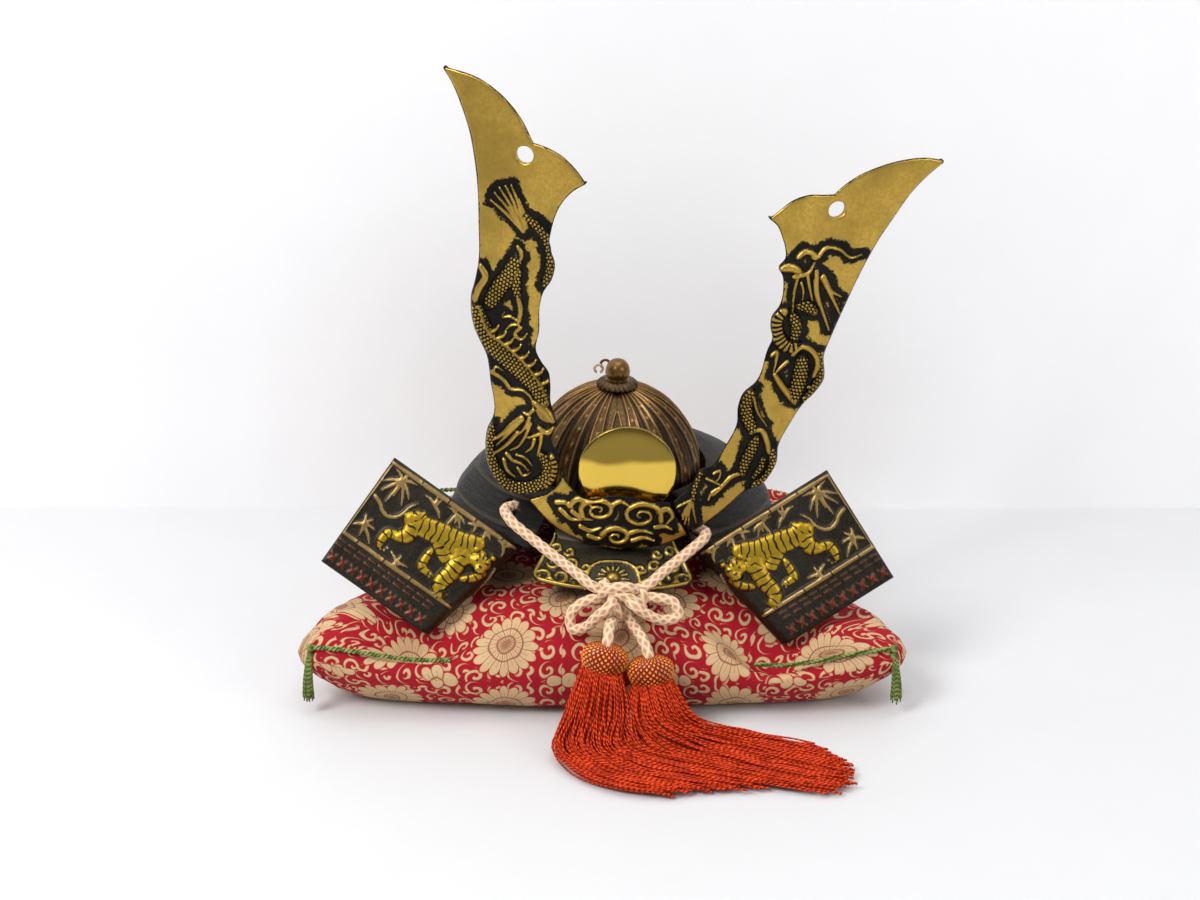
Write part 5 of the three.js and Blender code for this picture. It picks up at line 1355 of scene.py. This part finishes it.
def plate_art():
    """The tiger, its claws, the leaves, two rails of bamboo, the rim and the laced border."""
    strokes = list(TIGER_ART)
    for root, fan in LEAF_FANS:
        for middle, tip in fan:
            strokes.append(("strand", LEAF["width"], LEAF["rise"], [root, middle, tip]))
    for claw in CLAWS:
        strokes.append(("smooth", CLAW["width"], CLAW["rise"], list(claw)))
    for start, up in RAILS:
        strokes.append(("bamboo", 2.3, 1.3, [(start, up), (62, up)]))
    strokes.append(("strand", 0.9, 0.7, [(61.6, -2), (61.6, -20), (61.6, -36)]))
    for number in range(LACES):
        x = LACE_START + LACE_PITCH * number
        for (left, top), (right, foot) in LACE_STITCHES:
            strokes.append(("lace", LACE_WIDTH, LACE_WIDTH, [(x + left, top), (x + right, foot)]))
    return strokes


def plate_frame(side):
    """A plate's own directions as columns, and the place of its inner top corner."""
    cosine, sine = math.cos(PLATE_LEAN), math.sin(PLATE_LEAN)
    lean = np.array([[1, 0, 0], [0, cosine, sine], [0, -sine, cosine]])
    rows = lean @ turned_about_y(-side * PLATE_RISE) @ np.diag([side, 1, 1])
    return rows, np.array([side * PLATE_OUT + PLATE_SHIFT, -PLATE_FORWARD, PLATE_UP])


def plate_local(across, up, height):
    """A plate's face in its own directions, with the curl at its inner end."""
    fold = (-up / PLATE_HEIGHT) * PLATE_TAPER + PLATE_CURL
    past = np.maximum(fold - across, 0) / PLATE_CURL
    radius = PLATE_CURL + height
    x = np.where(past > 0, fold - radius * np.sin(past), across)
    y = np.where(past > 0, PLATE_CURL - radius * np.cos(past), -height)
    return np.stack([x, y, up], -1)


def softened(values, columns, rows, times):
    """A grid's values, each averaged with its neighbours a few times."""
    net = values.reshape(rows + 1, columns + 1)
    for _ in range(times):
        padded = np.pad(net, 1, mode="edge")
        beside = padded[:-2, 1:-1] + padded[2:, 1:-1] + padded[1:-1, :-2] + padded[1:-1, 2:]
        net = (beside + 2 * net) / 6
    return net.ravel()


def make_plate(side, name):
    """A turned-back plate with its relief, curled at its inner end."""
    mesh, u, v = grid(PLATE_COLUMNS, PLATE_ROWS)
    up = -PLATE_HEIGHT * (1 - v)
    inner = (1 - v) * PLATE_TAPER + PLATE_CURL * (1 - 1.45)
    across = inner + (PLATE_LENGTH - inner) * u
    at = np.stack([across, up], 1)
    found = relief(at, plate_art())
    found["height"] = softened(found["height"], PLATE_COLUMNS, PLATE_ROWS, 2)
    edge = np.minimum(PLATE_LENGTH - across, np.minimum(-up, PLATE_HEIGHT + up))
    rounded = 0.6 * np.clip(1 - edge / 0.9, 0, 1) ** 2
    rows, origin = plate_frame(side)
    grain = np.array([noise.noise(Vector((x * 0.25, y * 0.25, 0))) for x, y in at]) * 0.12
    local = plate_local(across, up, found["height"] - rounded + grain)
    move_corners(mesh, rolled(local @ rows.T + origin))
    give_relief(mesh, found)
    give(mesh, "bare", np.zeros(len(at)))
    join_seams(mesh, (0, 40, 60))
    add_piece("plate_" + name, mesh, plate_finish, "turnback_" + name, PLATE_WALL, plate_back)


make_plate(-1, "left")
make_plate(1, "right")


# Neck guard
def make_guard():
    """The lames, cut away where the plates turn back and round the cord's holes."""
    mesh, u, v = grid(*GRIDS["guard"])
    down = 1 - v
    ridge = np.zeros(len(u))
    for edge in LAME_EDGES:
        ridge = np.maximum(ridge, np.clip(1 - (np.abs(down - edge) / LAME_RIDGE) ** 2, 0, 1))
    rim = np.clip(1 - ((1 - down) / LAME_RIM) ** 2, 0, 1)
    step = 0.5 * np.modf(down * LAMES)[0]
    points = guard_at(down, u, ridge * 0.7 + rim * 0.3 + step * 0.4 - 0.4)
    keep = np.ones(len(u), bool)
    for side in (-1, 1):
        rows, origin = plate_frame(side)
        local = (points - origin) @ np.linalg.inv(rows).T
        room = (local[:, 1] < PLATE_WALL + CLEARANCE) & (local[:, 0] > -PLATE_CURL) & (local[:, 2] < 1)
        keep &= ~(room & (points[:, 1] < 0))
    for side in ("left", "right"):
        spot, _ = cord_hole(side)
        keep &= np.linalg.norm(rolled(points) - spot, axis=1) > CORD / 2 + HOLE_CLEAR
    give(mesh, "tone", ridge)
    give_uv(mesh, u, v)
    move_corners(mesh, rolled(points))
    trim(mesh, keep)
    join_seams(mesh, (0, 0, 40))
    add_piece("lames", mesh, guard_finish, "neck_guard", GUARD_WALL)


make_guard()


# Bowl: riveted bands with raised borders round a plain tongue at the front
BOWL_RADIUS = 35.5
BOWL_DOME = 38.0
BOWL_SKIRT = 11.0
BOWL_EQUATOR = 75.0
BOWL_WALL = 1.8
BAND_STEP = 18.75
BAND_START = 18.0
BAND_SHARE = 0.078
BORDER = 0.5
BAND_LINE = 0.4
TONGUE_WIDTH = 3.2
TONGUE_BORDER = 0.45
RIVET_RUN = 0.92
# Radius of the hole at the top, and the turn that the rows end at: past a quarter they drop straight
BOWL_HOLE = 3.4
BOWL_TURN = 2.0
# Rivets: how far down the band, and their radius
RIVETS = [(0.2, 0.5), (0.3, 0.65), (0.4, 0.8), (0.5, 0.95), (0.6, 1.05), (0.7, 1.15), (0.8, 1.2), (0.9, 1.2)]


def make_bowl():
    """The dome: bordered bands with rivets, a fine line between them, and the plain tongue at the front."""
    mesh, u, v = grid(*GRIDS["bowl"])
    low, high = math.asin(BOWL_HOLE / BOWL_RADIUS), BOWL_TURN
    down = 1 - v
    share = low + (high - low) * down
    straight = np.maximum(share - math.pi / 2, 0) / (high - math.pi / 2)
    turn = np.minimum(share, math.pi / 2)
    around = 360 * u - 180
    ring = BOWL_RADIUS * np.sin(turn)
    cell = (np.abs(around) - BAND_START) / BAND_STEP
    off = (cell - np.rint(np.maximum(cell, 0))) * BAND_STEP
    arc = np.radians(np.abs(off)) * ring
    half = np.maximum(BAND_SHARE * ring, 0.3)
    border = np.clip(1 - ((arc - half) / BORDER) ** 2, 0, 1)
    middle = np.clip(1 - ((np.radians(BAND_STEP / 2) * ring - arc) / BAND_LINE) ** 2, 0, 1) * 0.6
    in_band = arc < half
    height = 0.9 * border + 0.5 * middle
    tone = np.maximum(border * 0.9, np.where(in_band, 0.47, 0.0))
    tone = np.maximum(tone, 0.3 * middle)
    run = BOWL_RADIUS * share
    for place, size in RIVETS:
        gap = np.hypot(arc, run - BOWL_RADIUS * (low + (high - low) * place * RIVET_RUN)) / size
        dome = np.sqrt(np.clip(1 - gap**2, 0, 1))
        collar = np.clip(1 - ((gap - 1.5) / 0.3) ** 2, 0, 1)
        height = height + 0.6 * dome + 0.25 * collar
        tone = np.maximum(tone, np.maximum(dome, 0.6 * collar))
    tongue = np.abs(around) < BAND_START - BAND_STEP * 0.42
    wide = TONGUE_WIDTH * np.sin(np.pi * np.clip((down - 0.22) / 0.7, 0, 1)) ** 0.8
    front = np.radians(np.abs(around)) * ring
    outline = np.clip(1 - ((front - wide - 0.4) / TONGUE_BORDER) ** 2, 0, 1) * tongue * (down > 0.2)
    flat = tongue & (front > wide)
    height = np.where(tongue, 0.7 * outline, height)
    tone = np.where(tongue, np.maximum(outline * 0.9, np.where(flat, 0.47, 0.0)), tone)
    radius = ring + height * np.sin(turn)
    z = BOWL_EQUATOR + (BOWL_DOME + height) * np.cos(turn) - BOWL_SKIRT * straight
    move_corners(mesh, rolled(polar(around, radius, z)))
    give(mesh, "tone", tone)
    give(mesh, "bare", np.zeros(len(u)))
    join_seams(mesh, (0, 0, 75))
    add_piece("riveted_bowl", mesh, bowl_finish, "bowl", BOWL_WALL, plate_back)


make_bowl()


# Finial: notched collar, ball, and the small loops of cord behind it. Its rows are radius and height
FINIAL_PROFILE = [
    (3.0, 113.1), (8.2, 113.3), (8.6, 114.2), (7.6, 115.4), (5.6, 116.2), (4.1, 116.4),
    (4.9, 118.2), (5.05, 119.8), (4.5, 122), (3.0, 123.9), (1.2, 124.7), (0, 124.8),
]
COLLAR_NOTCHES = 12
# The cord's two small loops: middle, radius, finish and slot
CROWN_LOOPS = [
    {"at": (-3.2, 5.6, 120.2), "radius": 1.9, "finish": orange_net, "slot": "red_silk"},
    {"at": (-6, 5, 118.6), "radius": 1.7, "finish": peach, "slot": "peach_cord"},
]
LOOP_CORD = 0.55


def make_finial():
    """The ball on its collar, and the two loops behind it."""
    mesh, u, v = grid(*GRIDS["finial"])
    radius, z = np.moveaxis(read_smooth(FINIAL_PROFILE, v), -1, 0)
    collar = np.clip((radius - 5.3) / 2, 0, 1)
    notch = np.abs(np.cos(2 * np.pi * COLLAR_NOTCHES * u)) ** 0.6
    radius = np.maximum(radius, 0) * (1 - 0.14 * collar * (1 - notch))
    angle = 360 * u
    move_corners(mesh, rolled(polar(angle, radius, z)))
    give(mesh, "tone", np.where(collar > 0, 0.25 * notch, 0.62))
    give(mesh, "bare", np.zeros(len(u)))
    join_seams(mesh, (0, 0, 118))
    add_piece("finial_ball", mesh, finial_finish, "finial")
    for number, loop in enumerate(CROWN_LOOPS):
        x, y, z = loop["at"]
        size = loop["radius"]
        ring = [(x + size * math.cos(a), y, z + size * math.sin(a)) for a in np.linspace(-1.2, 4.3, 24)]
        mesh = tube_mesh(curve_through(ring, 0.3), LOOP_CORD, 10)
        add_piece("crown_loop_%d" % (number + 1), mesh, loop["finish"], None)


make_finial()


# Visor: shares of its reach and its drop, and half its spread in degrees
VISOR_PROFILE = [
    (0, 0, 35), (0.14, 0.43, 35), (0.27, 0.56, 34), (0.61, 0.75, 33.5), (0.9, 0.93, 32.5), (1, 1, 28.5),
]
VISOR_TOP = 72.0
VISOR_REACH = 23.5
VISOR_DROP = 22.5
VISOR_WALL = 2.0
# Run of one degree round the visor, in mm
VISOR_DEGREE = 0.92
BOSS_RADIUS = 2.5
BOSS_DOWN = 27.5
BOSS_RAYS = 9
# Curls: place, radius and the way they turn
VISOR_CURLS = [
    (25.5, -31.5, 2.9, 1), (19.5, -30, 3.3, -1), (12.6, -31.5, 2.7, 1), (24, -24, 3.0, -1),
    (16.8, -23.2, 2.6, 1), (26.5, -17.5, 2.4, 1), (20, -17.5, 2.2, -1), (11, -24, 2.2, -1),
]


def visor_art():
    """Curls and an arch on either side of a sun of short rays."""
    strokes = []
    for way in (-1, 1):
        for x, y, size, turns in VISOR_CURLS:
            spiral = []
            for i in range(13):
                angle = turns * (0.4 + i * 0.5)
                far = size * (1 - 0.045 * i)
                spiral.append((way * (x + far * math.cos(angle)), y + far * math.sin(angle)))
            strokes.append(("smooth", 1.7, 1.1, spiral))
        arch = [(way * 9.2, -34.5), (way * 9.8, -28), (way * 8, -22), (way * 5, -20.4)]
        strokes.append(("smooth", 1.5, 1.0, arch))
    strokes.append(("smooth", 1.4, 1.0, [(-6, -20.3), (0, -19.8), (6, -20.3)]))
    for ray in range(BOSS_RAYS):
        angle = math.radians(-10 + 25 * ray)
        way = np.array([math.cos(angle), math.sin(angle)])
        strokes.append(("smooth", 0.9, 0.8, [tuple(way * far + [0, -BOSS_DOWN]) for far in (3.4, 6)]))
    return strokes


def make_visor():
    """The peak with its raised rim, curls and boss."""
    mesh, u, v = grid(*GRIDS["visor"])
    down = 1 - v
    out, fall, half = np.moveaxis(read_smooth(VISOR_PROFILE, down), -1, 0)
    angle = (2 * u - 1) * half
    line = np.stack([VISOR_REACH * out, VISOR_DROP * fall], 1)
    order = np.argsort(down)
    run = np.zeros(len(u))
    steps = np.hypot(*np.diff(line[order], axis=0).T)
    run[order] = np.concatenate([[0], np.cumsum(steps)])
    at = np.stack([angle * VISOR_DEGREE, -run], 1)
    found = relief(at, visor_art())
    edge = np.minimum(run.max() - run, (half - np.abs(angle)) * VISOR_DEGREE)
    rim = np.clip(1 - ((edge - 1.1) / 1.2) ** 2, 0, 1) * (run > 11)
    found["height"] = np.maximum(found["height"], 1.3 * rim)
    found["tone"] = np.maximum(found["tone"], rim)
    boss = np.sqrt(np.clip(1 - (np.hypot(at[:, 0], at[:, 1] + BOSS_DOWN) / BOSS_RADIUS) ** 2, 0, 1))
    lift = np.maximum(found["height"], 2.2 * boss)
    radius = GUARD_SEAT + VISOR_WALL + VISOR_REACH * out
    points = polar(angle, radius + lift * 0.5, VISOR_TOP - VISOR_DROP * fall + lift * 0.8)
    move_corners(mesh, rolled(points))
    found["tone"] = np.maximum(found["tone"], np.where(boss > 0, 0.95, 0))
    give_relief(mesh, found)
    give(mesh, "bare", np.zeros(len(u)))
    join_seams(mesh, (0, 0, 40))
    add_piece("visor_peak", mesh, visor_finish, "visor", VISOR_WALL, plate_back)


make_visor()


# Cushion: shares of its half size and of its height from the seam to the crown
CUSHION_WIDTH = 236.0
CUSHION_DEPTH = 153.0
CUSHION_HEIGHT = 40.0
CUSHION_BACK = 0.74
CUSHION_CENTRE = (-4.5, -1.5)
SQUARENESS = 8
CORNER_LIFT = 11.0
CUSHION_TOP = [
    (1, 0.44), (0.985, 0.57), (0.96, 0.67), (0.86, 0.85), (0.7, 0.95), (0.45, 1), (0.15, 1), (0, 1),
]
CUSHION_UNDER = [(1, 0.44), (0.99, 0.28), (0.96, 0.15), (0.9, 0.05), (0.8, 0), (0, 0)]
# Where the plates press in: place and width as shares of the cushion, and depth as a share of its height
DIPS = [(-0.31, -0.4, 0.12, 0.34), (0.31, -0.4, 0.13, 0.445)]
REPEAT = 46.0
CUSHION_COLUMNS = 160
CUSHION_ROWS = 122
# Soft lumps and hollows of the filling: place, spread both ways and rise, in mm
CUSHION_LUMPS = [
    (2, -62, 34, 16, 3.5), (2, -44, 26, 22, 4.5), (-104, -54, 16, 16, 7.5), (94, -56, 17, 15, 7),
    (-76, -64, 12, 10, -5), (64, -66, 11, 10, -5), (-48, -64, 14, 12, 3), (38, -66, 13, 12, 2.5),
]


def back_taper(t):
    """The cushion's width narrows towards its back."""
    run = np.clip((t + 0.9) / 1.5, 0, 1)
    return 1 - (1 - CUSHION_BACK) * run * run * (3 - 2 * run)


def lay_of(points, columns, rows):
    """Run of the surface along both ways of a grid, from its middle."""
    net = points.reshape(rows + 1, columns + 1, 3)
    across = np.zeros(net.shape[:2])
    across[:, 1:] = np.cumsum(np.linalg.norm(np.diff(net, axis=1), axis=2), axis=1)
    across -= across[:, columns // 2][:, None]
    along = np.zeros(net.shape[:2])
    along[1:] = np.cumsum(np.linalg.norm(np.diff(net, axis=0), axis=2), axis=0)
    along -= along[rows // 2][None]
    return across.ravel(), along.ravel()


def cushion_at(s, t, table):
    """Points of the cushion at shares of its half width and depth, with their reach from its middle."""
    reach = (np.abs(s) ** SQUARENESS + np.abs(t) ** SQUARENESS) ** (1 / SQUARENESS)
    shrink = np.maximum(np.abs(s), np.abs(t)) / np.maximum(reach, 1e-9)
    s, t = s * shrink, t * shrink
    reach = np.maximum(np.abs(s / np.maximum(shrink, 1e-9)), np.abs(t / np.maximum(shrink, 1e-9)))
    angle = np.arctan2(t, s)
    corner = np.abs(np.sin(2 * angle)) ** 4
    tip = 2 ** (-1 / SQUARENESS)
    gather = 1 - 0.12 * np.abs(np.cos(2 * angle)) * np.clip(reach, 0, 1)
    x = CUSHION_WIDTH / 2 * s * gather / tip * back_taper(t)
    y = CUSHION_DEPTH / 2 * t
    rows = np.array(table)
    height = np.interp(-reach, -rows[:, 0], rows[:, 1])
    blend_in = np.clip((reach - 0.8) / 0.2, 0, 1)
    lift = CORNER_LIFT * corner * blend_in * blend_in * (3 - 2 * blend_in)
    press = sum(
        deep * np.exp(-(((x / CUSHION_WIDTH - dx) ** 2 + (y / CUSHION_DEPTH - dy) ** 2) / wide**2))
        for dx, dy, wide, deep in DIPS
    )
    full = 1 - 0.22 * corner * np.clip((reach - 0.5) / 0.5, 0, 1) ** 2 - press
    raised = np.where(height > 0, lift * np.minimum(1, 2.2 * (1 - height) + 0.4), 0)
    z = CUSHION_HEIGHT * height * full + raised
    return np.stack([x + CUSHION_CENTRE[0], y + CUSHION_CENTRE[1], z], -1), reach, angle


def make_cushion():
    """Top and underside, joined at the seam, with puckers near it and soft lumps."""
    meshes = []
    for table, top in ((CUSHION_TOP, True), (CUSHION_UNDER, False)):
        mesh, u, v = grid(CUSHION_COLUMNS, CUSHION_ROWS)
        s, t = 2 * u - 1, 2 * v - 1
        s, t = np.sin(s * math.pi / 2) * 0.35 + s * 0.65, np.sin(t * math.pi / 2) * 0.35 + t * 0.65
        points, reach, angle = cushion_at(s, t, table)
        if top:
            lumps = sum(
                rise * np.exp(-(((points[:, 0] - x) / wide) ** 2) - ((points[:, 1] - y) / deep) ** 2)
                for x, y, wide, deep, rise in CUSHION_LUMPS
            )
            points[:, 2] += lumps * np.clip((1 - reach) / 0.08, 0, 1)
            pucker = np.array([noise.noise(Vector((a * 9, r * 2.0, 0.3))) for a, r in zip(angle, reach)])
            slow = np.array([noise.noise(Vector((x * 0.03, y * 0.03, 2))) for x, y, _ in points])
            near_seam = np.clip((reach - 0.55) / 0.4, 0, 1) * np.clip((1 - reach) / 0.03, 0, 1)
            points[:, 2] += 3.4 * pucker * near_seam + 3.2 * slow * np.clip((1 - reach) / 0.1, 0, 1)
        move_corners(mesh, points)
        across, along = lay_of(points, CUSHION_COLUMNS, CUSHION_ROWS)
        give_uv(mesh, across / REPEAT + 0.35, along / REPEAT + 0.1)
        meshes.append(mesh)
    merged = merge_meshes("brocade_cushion", meshes)
    join_seams(merged)
    made = add_piece("brocade_cushion", merged, brocade, "cushion")


make_cushion()


# Corner ties: a green string over each corner with a small tassel.
# Each tie has its corner, in half turns, and the way its string runs from there
TIES = [(1.25, 1), (1.75, -1), (0.25, 1), (0.75, -1)]
TIE_REACH = [0.95, 0.95, 0.952, 0.955, 0.96, 0.964, 0.97, 0.98]
TIE_SPREAD = 0.3
STRING = 2.0
STRING_CLEAR = 0.6
TIE_DROP = 24
TIE_STRANDS = 34


def over_cushion(turn, reach, clear):
    """A point above the cushion's top, seen along its turn, and clear of it."""

    def at(angle, far):
        way = np.array([math.cos(angle), math.sin(angle)])
        s, t = way / np.abs(way).max() * far
        return cushion_at(np.array([s]), np.array([t]), CUSHION_TOP)[0][0]

    up = at(turn, reach - 0.01) - at(turn, reach + 0.01)
    around = at(turn + 0.05, reach) - at(turn - 0.05, reach)
    way = np.cross(around, up)
    return at(turn, reach) + way / np.linalg.norm(way) * clear


def make_ties():
    """Twisted string, hanging strands and two whippings at each corner."""
    rng = np.random.default_rng(3)
    for number, (half_turns, way) in enumerate(TIES):
        spots = []
        for i, reach in enumerate(TIE_REACH):
            turn = half_turns * math.pi + way * TIE_SPREAD * (1 - i / (len(TIE_REACH) - 1))
            spots.append(over_cushion(turn, reach, STRING / 2 + STRING_CLEAR))
        line = curve_through(spots, 0.6)
        top = line[-1]
        out = (top - [*CUSHION_CENTRE, 0]) * [1, 1, 0]
        out = out / np.linalg.norm(out)
        drop = min(TIE_DROP, top[2] - STRING_CLEAR)
        meshes = []
        for phase in (0, math.pi):
            run = np.arange(len(line)) * 0.9 + phase
            coil = np.stack([0 * run, np.cos(run), np.sin(run)], 1) * STRING / 4
            meshes.append(tube_mesh(line + coil, STRING / 3.6, 8))
        for i in range(TIE_STRANDS):
            angle = 2 * math.pi * i / TIE_STRANDS
            spread = np.array([math.cos(angle), math.sin(angle), 0])
            fall = rng.uniform(0.8, 1.0) * drop
            wide = rng.uniform(1.4, 2.4)
            hang = [
                top + spread * 0.5 - [0, 0, 1.5], top + out * 0.8 + spread * 1.1 - [0, 0, fall * 0.3],
                top + out * 1.6 + spread * wide * 0.8 - [0, 0, fall * 0.65],
                top + out * 1.8 + spread * wide - [0, 0, fall],
            ]
            meshes.append(tube_mesh(curve_through(hang, 2.0), 0.3, 5))
        for fall in (0.0, 3.2):
            lump = [top - [0, 0, fall - 0.9], top - [0, 0, fall + 0.9]]
            meshes.append(tube_mesh(curve_through(lump, 0.6), 1.5, 12))
        name = "corner_string_%d" % (number + 1)
        add_piece(name, merge_meshes(name, meshes), green_silk, "corner_tie_%d" % (number + 1))


make_ties()


# Table, wall and light
def plain_finish(name, colour, roughness):
    """Plain matt paint, clear when seen from behind."""
    material, tree, shader = finish_of(name)
    grain = noise_of(tree, place_of(tree), 35.0, 3.0, 0.5)
    tree.links.new(blend(tree, grain, shade(colour, 0.97), colour), shader.inputs["Base Color"])
    shader.inputs["Roughness"].default_value = roughness
    behind = make(tree, "ShaderNodeNewGeometry").outputs["Backfacing"]
    clear = make(tree, "ShaderNodeBsdfTransparent").outputs[0]
    mixed = make(tree, "ShaderNodeMixShader", {}, {0: behind, 1: shader.outputs[0], 2: clear}).outputs[0]
    tree.links.new(mixed, tree.nodes["Material Output"].inputs["Surface"])
    return material


# Half the side of the table and the wall, and how far back the wall stands, in metres
STAGE_REACH = 3
WALL_BACK = 0.12
STAGE = [
    {"name": "table", "at": (0, 0, 0), "tilt": 0, "colour": (0.67, 0.67, 0.675, 1)},
    {"name": "wall", "at": (0, WALL_BACK, 0), "tilt": math.pi / 2, "colour": (0.94, 0.94, 0.945, 1)},
]


def make_stage():
    """Table and wall."""
    for sheet in STAGE:
        matrix = Matrix.Translation(sheet["at"]) @ Matrix.Rotation(sheet["tilt"], 4, "X")
        bm = bmesh.new()
        bmesh.ops.create_grid(bm, x_segments=1, y_segments=1, size=STAGE_REACH, matrix=matrix)
        mesh = bpy.data.meshes.new(sheet["name"])
        bm.to_mesh(mesh)
        bm.free()
        mesh.materials.append(plain_finish(sheet["name"] + "_paint", sheet["colour"], 0.6))
        made = bpy.data.objects.new(sheet["name"], mesh)
        bpy.context.scene.collection.objects.link(made)


# Soft studio light: place and size in metres, power in watts
LIGHT_TARGET = Vector((0, 0, 0.08))
LIGHTS = [
    {"name": "key", "at": (-0.9, -0.8, 1.3), "size": 0.7, "power": 21},
    {"name": "fill", "at": (1.2, -0.9, 0.8), "size": 0.6, "power": 6},
    {"name": "top", "at": (0.1, -0.1, 1.5), "size": 1.0, "power": 8},
]
SKY = {"Color": (0.92, 0.94, 1.0, 1), "Strength": 0.33}


def make_lights():
    """Three soft lamps and a pale sky."""
    for light in LIGHTS:
        data = bpy.data.lights.new(light["name"], "AREA")
        data.energy = light["power"]
        data.size = light["size"]
        made = bpy.data.objects.new(light["name"], data)
        bpy.context.scene.collection.objects.link(made)
        made.location = light["at"]
        made.rotation_euler = (LIGHT_TARGET - made.location).to_track_quat("-Z", "Y").to_euler()
    world = bpy.data.worlds.new("studio")
    bpy.context.scene.world = world
    world.use_nodes = True
    background = world.node_tree.nodes["Background"]
    for name, value in SKY.items():
        background.inputs[name].default_value = value


make_stage()
make_lights()
bpy.context.scene.view_settings.view_transform = "Standard"
